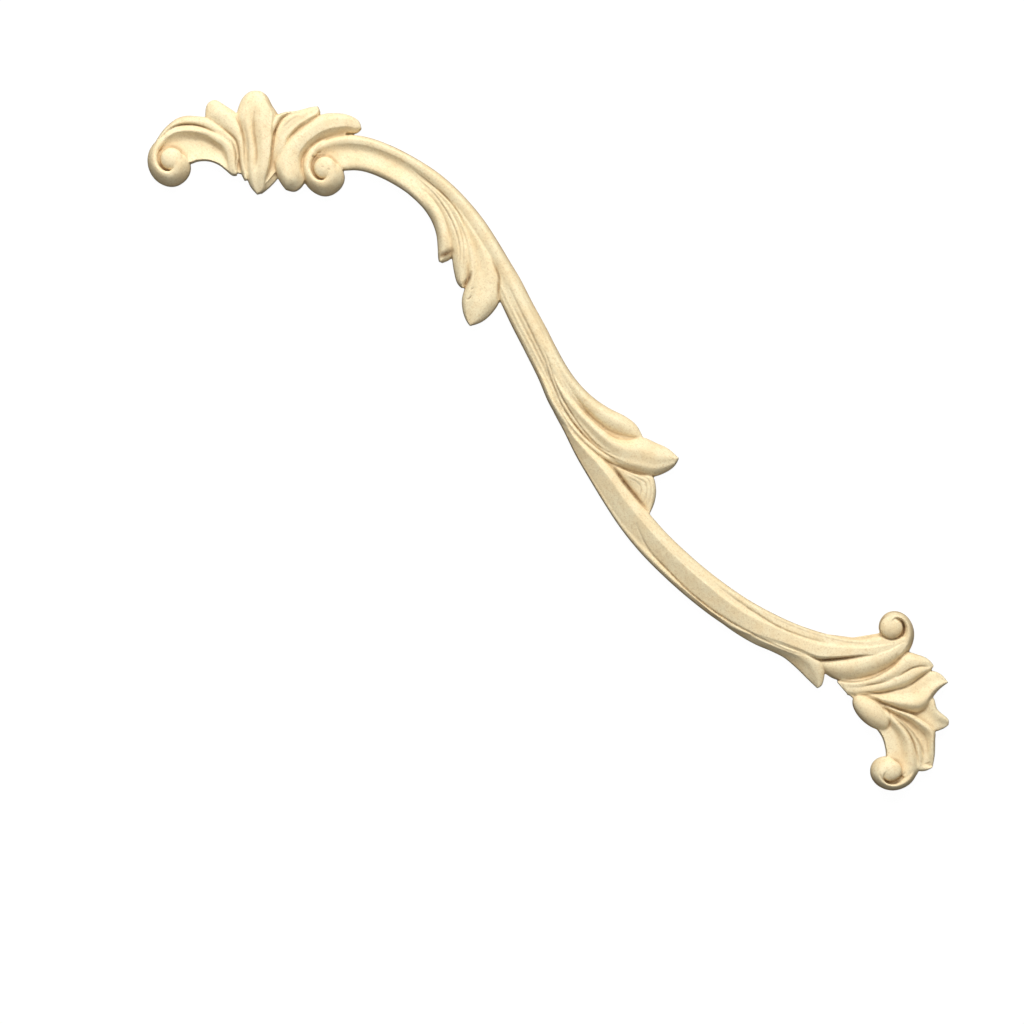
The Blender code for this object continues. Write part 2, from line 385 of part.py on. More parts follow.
def right_fleuron(work):
    plate(work, [(141, -14.3), (146, -15.2), (151, -15.2), (155, -13), (166, -14), (173, -20), (177, -31),
                 (182, -31), (185, -26), (184.6, -20), (187.4, -15), (180, -5),
                 (180, 0), (173, 2), (171.5, 11), (165, 11), (164, 12), (156, 10), (152, 4), (147, -6)], 4.2)
    # four fronds, from the neck outwards
    loft(work,
         [(165.4, 14), (162, 14.6), (158, 13.4), (153.8, 11), (153.2, 5), (151.2, -1), (147.2, -7.5),
          (141.4, -13)],
         [(165.4, 14), (165.7, 11.6), (164.8, 8), (163.6, 3), (160.2, -2.6), (156, -8.2), (152, -12.7),
          (147.4, -15.6)],
         [crisp(0, (3.8, 4.2, 4.6, 4.6, 3.8)), soft((0.3, 0.28, 0.26, 0.3), (4.2, 6.8, 7, 6.6, 4.6)),
          crisp((0.62, 0.54, 0.48, 0.48), (4.1, 6.4, 6.4, 6.1, 4.6)),
          soft((0.8, 0.76, 0.72, 0.72), (4.2, 6.8, 6.8, 6.4, 4.6)), crisp(1, (3.6, 4.6, 5, 5, 3.8))])
    loft(work,
         [(173.7, 12.7), (169.3, 13.3), (166, 12), (163, 6), (159.6, 0), (155.2, -5.5), (150, -10.5)],
         [(173.7, 12.7), (172.8, 8.4), (172.9, 4), (173.6, 0), (172.2, -3.8), (169, -6), (165, -7.9),
          (160, -10),
          (152, -12.6)],
         [crisp(0, (3.8, 4.4, 4.6, 4.6, 4.4)), soft(0.3, (4, 5.2, 5.4, 5.2, 4.8)),
          soft((0.75, 0.75, 0.72), (4, 7, 7.6, 7, 5)), crisp(1, (3.6, 4.6, 4.8, 4.8, 4.4))])
    loft(work,
         [(184.1, 0.2), (182.9, 1.9), (177, 2.3), (173, 4.6), (168, 3)],
         [(184.1, 0.2), (183.3, -2.4), (181.2, -5.2), (176, -6), (168, -7.2)],
         [crisp(0, (3.6, 4.4, 4.8, 4)), soft(0.15, (3.8, 5.6, 5.8, 4)), soft(0.6, (3.8, 4.6, 4.5, 4)),
          crisp(1, (3.6, 4.2, 4.4, 4))])
    loft(work,
         [(189.8, -16), (187.3, -11.5), (184.3, -7.7), (181.3, -4.4), (176, -4.4), (170, -5.4), (165, -7.4),
          (158, -10)],
         [(189.8, -16), (188.3, -19), (186, -20.4), (183, -17.9), (179, -14.6), (174, -12.4), (168, -11.8),
          (158, -12.4)],
         [crisp(0, (3.6, 4.2, 4.8, 5, 4.6)), soft((0.14, 0.14, 0.2, 0.3), (4, 6.2, 6.9, 6.4, 5)),
          soft((0.52, 0.54, 0.58, 0.6), (3.7, 3.7, 3.9, 4.4, 4.6)), soft(0.86, (4, 5.5, 6, 6.1, 5)),
          crisp(1, (3.6, 5, 5.4, 5.4, 4.6))])
    # hook that turns back below the fronds
    loft(work,
         [(154, -10.9), (163, -10.4), (168, -10.2), (174, -11), (179, -13.2), (183.6, -16.9), (186.6, -20.2),
          (187, -25)],
         [(154, -17.3), (161, -18), (164.5, -18.5), (168, -19.6), (171, -21.6), (172.8, -23.2), (175, -26),
          (177, -27)],
         [crisp(0, (4.6, 4.8, 4.4, 4.2, 3.4)), soft((0.2, 0.2, 0.2, 0.22, 0.25), (4.8, 6.2, 6.6, 6.6, 6)),
          soft((0.5, 0.5, 0.52, 0.55, 0.6), (4.6, 4.5, 4.4, 4.4, 5.6)), crisp(1, (4.4, 4.8, 4.8, 4.8, 5.6))])
    scroll_eye(work, (178.5, -27.2), 45, -285, (10.4, 9.2, 8, 7.4, 7.2, 7.5, 7.8, 7.6, 6.6, 5.4, 4.4, 3.8),
               (5.8, 5.1, 4.9, 4.8, 4.5, 3, 0.4, -1, -1.5, -1.5, -1.5, -1.5),
               (3.2, 3.2, 3.2, 3.2, 3.2, 3.2, 3.2, 3.2, 3.4, 4.4, 5.4, 5.8),
               ((0.4, 0.46, 0.56, 0.68, 0.8, 0.88, 0.92, 0.95, 0.95),
                (5.8, 6.3, 6.8, 7.4, 8, 8.3, 8.4, 8.4, 8.4)),
               (5.4, 5.2, 5.4, 5.8, 7.2, 8.2, 8.4, 8.4, 8.4), (4, 6.2, 8.5), (0.6, -0.5))
    # oval bead that ties the neck to the hook
    dome(work, (158.4, -14.9), (8.6, 4.5), -3, 3.6, 8.2)


def baked(obj):
    """Mesh of an object with its modifiers worked in."""
    bpy.context.view_layer.update()
    return bpy.data.meshes.new_from_object(obj.evaluated_get(bpy.context.evaluated_depsgraph_get()))


def work_in(obj, kind, **settings):
    """Add one modifier, work it into the mesh and take it off again."""
    modifier = obj.modifiers.new(kind.title(), kind)
    for key, value in settings.items():
        setattr(modifier, key, value)
    mesh = baked(obj)
    obj.modifiers.clear()
    obj.data = mesh


def saw_back(mesh):
    """Cut the body off flat at the plane of its back and leave out any hollow closed in below the forms."""
    work = bmesh.new()
    work.from_mesh(mesh)
    everything = work.verts[:] + work.edges[:] + work.faces[:]
    bmesh.ops.bisect_plane(work, geom=everything, dist=1e-7, plane_co=(0, 0, 0), plane_no=(0, 0, 1),
                           clear_inner=True)
    shells = connected(work)
    for shell in sorted(shells, key=len)[:-1]:
        bmesh.ops.delete(work, geom=shell, context='VERTS')
    rim = [e for e in work.edges if e.is_boundary]
    back = bmesh.ops.holes_fill(work, edges=rim, sides=0)['faces']
    bmesh.ops.triangulate(work, faces=back)
    bmesh.ops.recalc_face_normals(work, faces=work.faces[:])
    work.to_mesh(mesh)
    work.free()


def connected(work):
    """Lists of the points that hang together."""
    left, shells = set(work.verts), []
    while left:
        reached = [left.pop()]
        for vertex in reached:
            near = [e.other_vert(vertex) for e in vertex.link_edges]
            fresh = [v for v in near if v in left]
            left.difference_update(fresh)
            reached.extend(fresh)
        shells.append(reached)
    return shells


def lay_back_flat(mesh):
    """Put the points that lie next to the back exactly into its plane."""
    for vertex in mesh.vertices:
        if vertex.co.z < BACK_SNAP * MM:
            vertex.co.z = 0


def cream_composite():
    """Pale moulded wood-fibre composite."""
    material = bpy.data.materials.new('wood_composite')
    material.use_nodes = True
    shader = material.node_tree.nodes['Principled BSDF']
    shader.inputs['Base Color'].default_value = CREAM
    shader.inputs['Roughness'].default_value = 0.72
    shader.inputs['Metallic'].default_value = 0.0
    return material


def main():
    for obj in list(bpy.data.objects):
        bpy.data.objects.remove(obj)
    collection = bpy.data.collections.new('bendable_wood_onlay')
    bpy.context.scene.collection.children.link(collection)

    work = bmesh.new()
    for group in (left_fleuron, first_arc, middle, second_arc, right_fleuron):
        group(work)
    mesh = bpy.data.meshes.new('scroll_onlay')
    work.to_mesh(mesh)
    work.free()
    onlay = bpy.data.objects.new('scroll_onlay', mesh)
    collection.objects.link(onlay)

    work_in(onlay, 'REMESH', mode='VOXEL', voxel_size=VOXEL * MM)
    saw_back(onlay.data)
    faces = sum(len(p.vertices) - 2 for p in onlay.data.polygons)
    work_in(onlay, 'DECIMATE', ratio=TRIANGLES / faces, use_collapse_triangulate=True)
    lay_back_flat(onlay.data)
    onlay.data.name = 'scroll_onlay'
    onlay.data.materials.append(cream_composite())
    onlay.data.shade_smooth()
    onlay.data.set_sharp_from_angle(angle=np.radians(SHARP_ANGLE))


main()
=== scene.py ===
"""Bendable wood onlay: the visual model, its material, light and camera.

The form is the CAD part's own, from the same tables, fused at a finer grain and with the fine cuts of the
carving added. The tables are in millimetres, in the plane of the back; heights are measured up from it.
"""

import math

import bmesh
import bpy
import numpy as np
from mathutils import Matrix, Vector


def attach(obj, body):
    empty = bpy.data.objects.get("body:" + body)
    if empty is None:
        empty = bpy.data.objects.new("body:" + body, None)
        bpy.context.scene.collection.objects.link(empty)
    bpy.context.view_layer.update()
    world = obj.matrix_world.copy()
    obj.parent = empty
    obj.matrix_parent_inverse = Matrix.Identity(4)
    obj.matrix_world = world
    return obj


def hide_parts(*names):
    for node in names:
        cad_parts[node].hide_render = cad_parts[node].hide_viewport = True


MM = 0.001              # one millimetre, in metres

# Forms, in millimetres and degrees
DRAFT = 0.07            # lean of the walls, per mm of height
MOST_LEAN = 0.45        # the most that a wall leans in, as a share of the form's width
FOOT = -2.0             # the forms start below the back, where the joined body is sawn flat
ROWS = 110              # sections along a form
STEPS = 9               # points between two lines of a section
CURVE_STEPS = 40        # points between two given ones while a curve is measured
SPIRAL_POINTS = 44      # points along a volute's ridge
RING_STEP = 5           # degrees between the rings of a dome
RING_LAST = 85          # degrees at which a dome is closed flat
RIM_STEP = 7            # degrees between the points of a ring
HOOK_EYE = (-180.3, -24.6)              # eyes of the four volutes, from left to right
ARC_EYE = (-133.4, 10.3)
NECK_EYE = (143.6, 14.7)
LAST_EYE = (178.5, -27.2)
CREASE_DISC = (4.5, 4.8, 5.1)           # radius, foot and top of the disc that floors a volute's crease
VOXEL = 0.3             # grain at which the forms are fused into one body
TRIANGLES = 185000      # faces kept of the fused body
BACK_SNAP = 0.12        # faces that end this near the back are laid into it
SHARP_ANGLE = 60        # edges sharper than this stay sharp in the shading

# Fine cuts and the painted shade in them, in millimetres
CUT_POINTS = 160        # points along a cut
CUT_FADE = 0.6          # power of the sine that fades a cut at both ends: lower fades later
CUT_FLOOR = 2.0         # the cuts are pressed into the face above this height
CUT_SHADE_FLOOR = 0.8       # and the painted shade runs down the walls to this one
CHUNK = 4000            # points measured at a time

# Hollows, found on a height map of the face and painted with shade, in millimetres
GRAIN = 0.25            # cell of the map
MAP_MARGIN = 8.0        # empty border of the map
NARROW = 0.9            # circle on which a crease shows as lower than what is round it
WIDE = 2.6              # circle on which a gouge or a valley does
FACE_FOOT = 2.2         # the walls below this height show neither
FACE_RISE = 1.4         # height over which both set in
CREASE_SHADE_GAIN = 1.4       # strength of the painted shade in a crease
DIP_SHADE_GAIN = 1.2          # and of a gouge or a valley

# Colours of the composite
CREAM = (0.94, 0.81, 0.53, 1.0)         # the face
CREAM_WARM = (0.90, 0.72, 0.43, 1.0)    # clouds on it
TAN = (0.72, 0.51, 0.26, 1.0)           # specks and fibres, and painted shade in the gouges and valleys
TAN_DEEP = (0.46, 0.30, 0.15, 1.0)      # dark specks, and painted shade in the creases
CUT_SHADE_BROWN = (0.20, 0.11, 0.045, 1.0)        # painted shade in the fine cuts

# Studio: sizes and distances in metres, power in watts
TURN = math.radians(40.0)               # how far the photograph is turned against the part's length
UP = Vector((-math.sin(TURN), math.cos(TURN), 0))
LOOK_AT = Vector((5.15, -44.25, 3.0)) * MM      # where camera and lamps point
PHOTO_WIDTH = 0.389                     # what the photograph spans at the onlay
SENSOR = 36                             # width of the camera's sensor, in mm
CAMERA_REACH = 3.5                      # far off, so that the view is nearly square to the face
CAMERA_HEIGHT = math.radians(87.5)
LIGHT_REACH = 1.8                       # from the onlay to either lamp
KEY_POWER = 33.0                        # a slanting key light that draws the relief
KEY_HEIGHT = math.radians(40.0)
KEY_SIZE = (1.3, 0.8)
FILL_POWER = 16.5                       # and a broad fill from nearly overhead
FILL_HEIGHT = math.radians(84.0)
FILL_SIZE = (2.4, 2.4)
AMBIENT = 0.12
FLOOR_HALF = 3.0                        # half the side of the floor
FLOOR_DROP = 0.0002                     # gap between the floor and the onlay's back
FLOOR_GLOW = 0.96                       # light of the floor's own, which keeps it evenly pale
FLOOR_SHADE = (0.08, 0.08, 0.08, 1)
WHITE = (1, 1, 1, 1)


def smooth_line(points, count):
    """Evenly spaced points on a smooth curve through the given ones."""
    p = np.asarray(points, float)
    gap = np.sqrt(np.linalg.norm(np.diff(p, axis=0), axis=1)) + 1e-9
    slope = np.diff(p, axis=0) / gap[:, None]
    tangent = np.empty_like(p)
    weight = gap[1:, None] / (gap[:-1] + gap[1:])[:, None]
    tangent[1:-1] = slope[:-1] * weight + slope[1:] * (1 - weight)
    tangent[0] = 1.5 * slope[0] - 0.5 * tangent[1]
    tangent[-1] = 1.5 * slope[-1] - 0.5 * tangent[-2]
    u = np.linspace(0, 1, CURVE_STEPS, endpoint=False)[:, None]
    curve = [cubic(u, p[i], p[i + 1], gap[i] * tangent[i], gap[i] * tangent[i + 1])
             for i in range(len(p) - 1)]
    curve = np.concatenate(curve + [p[-1:]])
    run = np.concatenate([[0.0], np.cumsum(np.linalg.norm(np.diff(curve, axis=0), axis=1))])
    at = np.linspace(0, run[-1], count)
    return np.stack([np.interp(at, run, curve[:, 0]), np.interp(at, run, curve[:, 1])], axis=1)


def cubic(u, start, end, start_tangent, end_tangent):
    """Cubic blend between two values with a given slope at each."""
    return ((2 * u**3 - 3 * u**2 + 1) * start + (u**3 - 2 * u**2 + u) * start_tangent
            + (3 * u**2 - 2 * u**3) * end + (u**3 - u**2) * end_tangent)


def along(values, count):
    """One number, or a few evenly spaced along a form, as a smooth run that never overshoots them."""
    v = np.atleast_1d(np.asarray(values, float))
    if len(v) == 1:
        return np.full(count, v[0])
    step = np.diff(v)
    slope = np.concatenate([step[:1], (step[:-1] + step[1:]) / 2, step[-1:]])
    for i in range(1, len(step)):
        limit = 3 * min(abs(step[i - 1]), abs(step[i]))
        slope[i] = np.clip(slope[i], -limit, limit) if step[i - 1] * step[i] > 0 else 0
    s = np.linspace(0, len(v) - 1, count)
    i = np.clip(s.astype(int), 0, len(v) - 2)
    return cubic(s - i, v[i], v[i + 1], slope[i], slope[i + 1])


def ease(u, level_start, level_end):
    """Blend from 0 to 1 that runs out level at a rounded line and stays steep at a crisp one."""
    if level_start and level_end:
        return u * u * (3 - 2 * u)
    if level_end:
        return 1 - (1 - u) ** 2
    return u * u if level_start else u


def crisp(across, height):
    """A crisp line along a form: an edge, an arris or the bottom of a cut."""
    return across, height, False


def soft(across, height):
    """A rounded line along a form: the top of a swelling or the floor of a hollow."""
    return across, height, True


def skin(left, right, lines):
    """Points over a form, section by section: up the left wall, across its lines, down the right one."""
    a, b = smooth_line(left, ROWS), smooth_line(right, ROWS)
    width = np.maximum(np.linalg.norm(b - a, axis=1), 1e-6)
    place, high = [], []
    for across, height, _ in lines:
        z = along(height, ROWS)
        lean = np.minimum(DRAFT * z / width, MOST_LEAN)
        place.append(lean + along(across, ROWS) * (1 - 2 * lean))
        high.append(z)
    column = [(0, FOOT), (0, 0)]
    for k in range(len(lines) - 1):
        for u in np.arange(STEPS) / STEPS:
            rise = ease(u, lines[k][2], lines[k + 1][2])
            column.append((place[k] + (place[k + 1] - place[k]) * u,
                           high[k] + (high[k + 1] - high[k]) * rise))
    column += [(place[-1], high[-1]), (1, 0), (1, FOOT)]
    points = [np.column_stack([a + (b - a) * np.reshape(t, (-1, 1)), np.broadcast_to(z, ROWS)])
              for t, z in column]
    return np.stack(points, axis=1)


def around(eye, start, end, radius):
    """Points of a spiral round an eye, from one angle to another in degrees."""
    a = np.radians(np.linspace(start, end, SPIRAL_POINTS))
    return np.array(eye) + np.stack([np.cos(a), np.sin(a)], axis=1) * along(radius, SPIRAL_POINTS)[:, None]


def loft(work, left, right, lines):
    """Closed form between two edge curves, with its section given by the lines along it."""
    points = skin(left, right, lines)
    rows, columns = points.shape[:2]
    verts = [[work.verts.new(p * MM) for p in section] for section in points]
    for i in range(rows - 1):
        for j in range(columns):
            k = (j + 1) % columns
            work.faces.new((verts[i][j], verts[i][k], verts[i + 1][k], verts[i + 1][j]))
    work.faces.new(verts[0])
    work.faces.new(reversed(verts[-1]))


def dome(work, centre, radii, turn, skirt, top):
    """Upper half of an ellipsoid on a straight foot: an eye, a bead or a low disc."""
    rings = [(1, FOOT)] + [(np.cos(a), skirt + (top - skirt) * np.sin(a))
                           for a in np.radians(range(0, RING_LAST + 1, RING_STEP))]
    across, ahead = np.radians(turn), np.radians(turn + 90)
    verts = []
    for size, z in rings:
        ring = []
        for a in np.radians(range(0, 360, RIM_STEP)):
            u, v = radii[0] * size * np.cos(a), radii[1] * size * np.sin(a)
            x = centre[0] + u * np.cos(across) + v * np.cos(ahead)
            y = centre[1] + u * np.sin(across) + v * np.sin(ahead)
            ring.append(work.verts.new((x * MM, y * MM, z * MM)))
        verts.append(ring)
    for low, high in zip(verts, verts[1:]):
        for i in range(len(low)):
            work.faces.new((low[i - 1], low[i], high[i], high[i - 1]))
    work.faces.new(reversed(verts[0]))
    work.faces.new(verts[-1])


def plate(work, outline, top):
    """Flat plate under a group of leaves."""
    face = work.faces.new([work.verts.new((x * MM, y * MM, FOOT * MM)) for x, y in outline])
    raised = bmesh.ops.extrude_face_region(work, geom=[face])['geom']
    rim = [v for v in raised if isinstance(v, bmesh.types.BMVert)]
    bmesh.ops.translate(work, verts=rim, vec=(0, 0, (top - FOOT) * MM))


def scroll_eye(work, eye, start, end, outer, inner, rim, crest, inside, ball, low):
    """A volute: a ridge that winds round its eye, runs up into it and closes over it like a snail's shell.

    The four runs of numbers hold the outer radius, the inner radius, the height of the outer edge, the
    place and height of the ridge's top and the height of its inner edge. ball holds the radius, the foot
    and the top of the eye; low shifts the floor of the crease away from the eye's centre.
    """
    loft(work, around(eye, start, end, outer), around(eye, start, end, inner),
         [crisp(0, rim), soft(*crest), crisp(1, inside)])
    dome(work, eye, (ball[0], ball[0]), 0, ball[1], ball[2])
    radius, foot, top = CREASE_DISC
    dome(work, (eye[0] + low[0], eye[1] + low[1]), (radius, radius), 0, foot, top)


def open_scroll(work, eye, outer):
    """The volute that closes a hook or an arc at the left end, in steps of 30 degrees from 130."""
    scroll_eye(work, eye, 130, 460, outer + (6.4, 4.7, 3.6),
               (7.6, 6, 5.4, 5.1, 5, 4.8, 3.8, 1.4, -1, -1.5, -1.5, -1.5),
               (2.8, 3, 3.2, 3.2, 3.2, 3.2, 3.2, 3.2, 3.2, 3.8, 5, 5.8),
               ((0.36, 0.5, 0.6, 0.68, 0.76, 0.82, 0.86, 0.9, 0.92, 0.95),
                (5.4, 6, 6.5, 7, 7.4, 7.8, 8.2, 8.5, 8.6, 8.6)),
               (4.4, 4.7, 5.2, 5.6, 5.9, 6.4, 7.8, 8.4, 8.6, 8.6), (4.2, 6.2, 8.7), (-0.6, -0.6))


def left_fleuron(work):
    """The hook with its volute and the leaves that fan out beside it."""
    # thin ground that ties the leaves together
    plate(work, [(-182, 0), (-173, 2), (-172, 12), (-165, 13), (-158, 13), (-152, 22), (-148, 20),
                 (-146, 26), (-140, 27), (-136, 26.5), (-134, 12), (-138, 2), (-147, -2), (-147, -11),
                 (-155, -11), (-158, -12.5), (-161, -11), (-166, -7), (-176, -6.5), (-184, -8),
                 (-179, -3)], 4.2)
    # hook: an outer strip, a cut, a rim and a wide gouge
    loft(work,
         [(-157.5, -13.3), (-160.1, -9.4), (-162.6, -6), (-166, -3.6),
          (-170.5, -2.5), (-175, -2.8), (-180, -3.4), (-183.8, -5.7), (-187, -8.2),
          (-189, -11.1), (-190, -15), (-190.2, -19.5), (-189.1, -26)],
         [(-157.5, -13.3), (-158.8, -14.4), (-162.4, -14.5), (-165.1, -14.6), (-168.2, -15.5),
          (-170.6, -17), (-172.6, -19.1), (-173.9, -21.2), (-178, -23.5), (-181, -25)],
         [crisp(0, (4.8, 4.8, 4.4, 3.8, 3.4, 3.4, 3.2)),
          soft((0.15, 0.12, 0.12, 0.13, 0.12, 0.08, 0.04), (5, 5.5, 5.8, 6, 6, 5.9, 4.8)),
          soft((0.3, 0.22, 0.22, 0.25, 0.22, 0.14, 0.07), (4.9, 5.3, 5.7, 5.8, 5.6, 5.4, 4.5)),
          soft((0.45, 0.36, 0.34, 0.36, 0.32, 0.22, 0.12), (5.2, 5.9, 6.3, 6.5, 6.5, 6.2, 5)),
          crisp((0.96, 0.93, 0.82, 0.6, 0.48, 0.46, 0.44, 0.4, 0.36, 0.31, 0.27, 0.23, 0.18),
                (4.8, 4.9, 5.2, 5.6, 5.8, 5.9, 6, 6, 6, 5.9, 5.8, 5.4, 4.2)),
          soft((0.98, 0.96, 0.9, 0.76, 0.66, 0.62, 0.6, 0.57, 0.54, 0.5, 0.47, 0.44, 0.4),
               (4.7, 4.8, 4.8, 4.3, 3.9, 3.8, 3.8, 3.8, 3.8, 3.9, 4, 4.1, 3.8)),
          crisp(1, (4.4, 4.6, 4.8, 4.9, 5, 4.6, 3.8))])
    open_scroll(work, HOOK_EYE, (10.8, 9.6, 9.4, 9.4, 9.6, 10, 10.3, 9.5, 8.2))
    # small rounded leaf above the hook
    loft(work,
         [(-183.6, 1), (-182.4, 3.5), (-178, 4.4), (-173, 4.8), (-170, 3.6),
          (-166, 1), (-161.5, -2.8), (-157, -7.4), (-153.2, -11.8)],
         [(-183.6, 1), (-183.2, -1.2), (-180.4, -4.2), (-175, -4), (-169.5, -3.7),
          (-165, -5), (-161, -8.4), (-157.6, -11.2), (-154, -13)],
         [crisp(0, (3.5, 3.5, 4.6, 5.2, 5)), soft((0.42, 0.42, 0.45, 0.5, 0.5), (3.6, 6.2, 6.3, 6.1, 5.4)),
          crisp(1, (3.4, 4.2, 4.8, 5, 4.6))])
    # lens-shaped leaf across the fleuron: two lobes with a cut between them
    loft(work,
         [(-171.4, 17), (-174.3, 14.4), (-175, 11), (-174, 7.2), (-172.2, 4), (-168.7, 1.6),
          (-165.4, -0.6), (-162, -3.6), (-158.8, -7.2), (-155, -10.8), (-151, -13.2), (-146.9, -13.9)],
         [(-171.4, 17), (-168.4, 17.4), (-164.6, 15.9), (-159.8, 14.1), (-157, 9),
          (-154.6, 5.2), (-150, -1.8), (-147.4, -7.4), (-145.6, -10.8), (-146.9, -13.9)],
         [crisp(0, (3.4, 3.8, 4.6, 4.2, 3.4)),
          soft((0.22, 0.22, 0.24, 0.26, 0.3), (3.6, 6.1, 6.6, 6.4, 3.8)),
          soft((0.38, 0.4, 0.41, 0.45, 0.5), (3.6, 6.4, 6.2, 6.2, 3.8)),
          soft((0.6, 0.62, 0.66, 0.74, 0.74), (3.6, 7, 7.5, 7.1, 3.8)),
          crisp((0.74, 0.86, 0.88, 0.95, 0.94, 0.92, 0.86), (3.5, 6.7, 7.3, 7.5, 7, 5.8, 3.6)),
          crisp(1, (3.4, 3.4, 3.6, 4.4, 4.4, 3.8, 3.4))])
    # leaf that peeps out behind its point
    loft(work,
         [(-152, 2), (-149, -5), (-146.4, -12.3)],
         [(-149, 2), (-145.2, -3.3), (-145, -8), (-145.8, -12.5)],
         [crisp(0, 4.4), crisp(1, 2.4)])
    # narrow leaf beside the lens
    loft(work,
         [(-154.6, 21.6), (-157.4, 18.8), (-159.4, 16.6),
          (-161, 13), (-159.6, 9), (-156.8, 4.4), (-152, -1.6)],
         [(-154.6, 21.6), (-155.6, 19.2), (-157, 17),
          (-157.9, 14.2), (-157.5, 10.6), (-155.6, 6), (-151, 1)],
         [crisp(0, (3.8, 4.2, 4.8, 4.8, 4)), soft(0.45, (4, 6, 6.2, 5.8, 4)),
          crisp(1, (4.2, 5.3, 5.5, 5.2, 4))])
    # ribbed leaf with a pointed tip
    loft(work,
         [(-150.8, 26.8), (-152.8, 24.6), (-154.8, 21.8), (-157.2, 18),
          (-158.2, 14.4), (-157.7, 10.6), (-155.8, 6), (-151.2, -1.5)],
         [(-150.8, 26.8), (-148.3, 25), (-148.5, 21), (-150.2, 15), (-150.7, 10), (-149, 5), (-147, 0)],
         [crisp(0, (4, 5.2, 5.4, 5, 4)), soft(0.4, (4.2, 6.4, 6.7, 6.2, 4.2)),
          soft(0.62, (4.2, 6.3, 6.5, 6.2, 4.2)), soft(0.8, (4.2, 6.5, 6.7, 6.4, 4.2)),
          crisp(1, (3.8, 4.6, 5, 5.2, 4.2))])
    # tall S-shaped leaf that ends below in a bulb
    loft(work,
         [(-132.6, 30.8), (-135.4, 32.5), (-140, 31.7), (-145, 28.4),
          (-148, 25), (-149.3, 21), (-150.6, 16), (-151.5, 11), (-151.2, 5),
          (-149.8, 0), (-147, -2.8), (-143.5, -4.6), (-139.8, -5.5)],
         [(-132.6, 30.8), (-133, 28.4), (-136, 25.5), (-140, 20.5), (-142.2, 16), (-143, 11),
          (-142, 7), (-139.5, 4.5), (-136.6, 2.3), (-135.8, -0.5), (-136.6, -3.7), (-139.8, -5.5)],
         [crisp(0, (4, 4.6, 4.8, 4.8, 5, 4.6, 3.2)),
          soft((0.3, 0.3, 0.34, 0.38, 0.4, 0.44, 0.5), (4.4, 6.7, 7.4, 7.6, 7.9, 8.3, 4.2)),
          crisp((0.6, 0.7, 0.74, 0.78, 0.8, 0.76, 0.6), (4.3, 6.7, 7.2, 7.2, 7, 7, 4)),
          crisp(1, (3.6, 4.2, 4.6, 4.8, 4.8, 4.2, 3.2))])


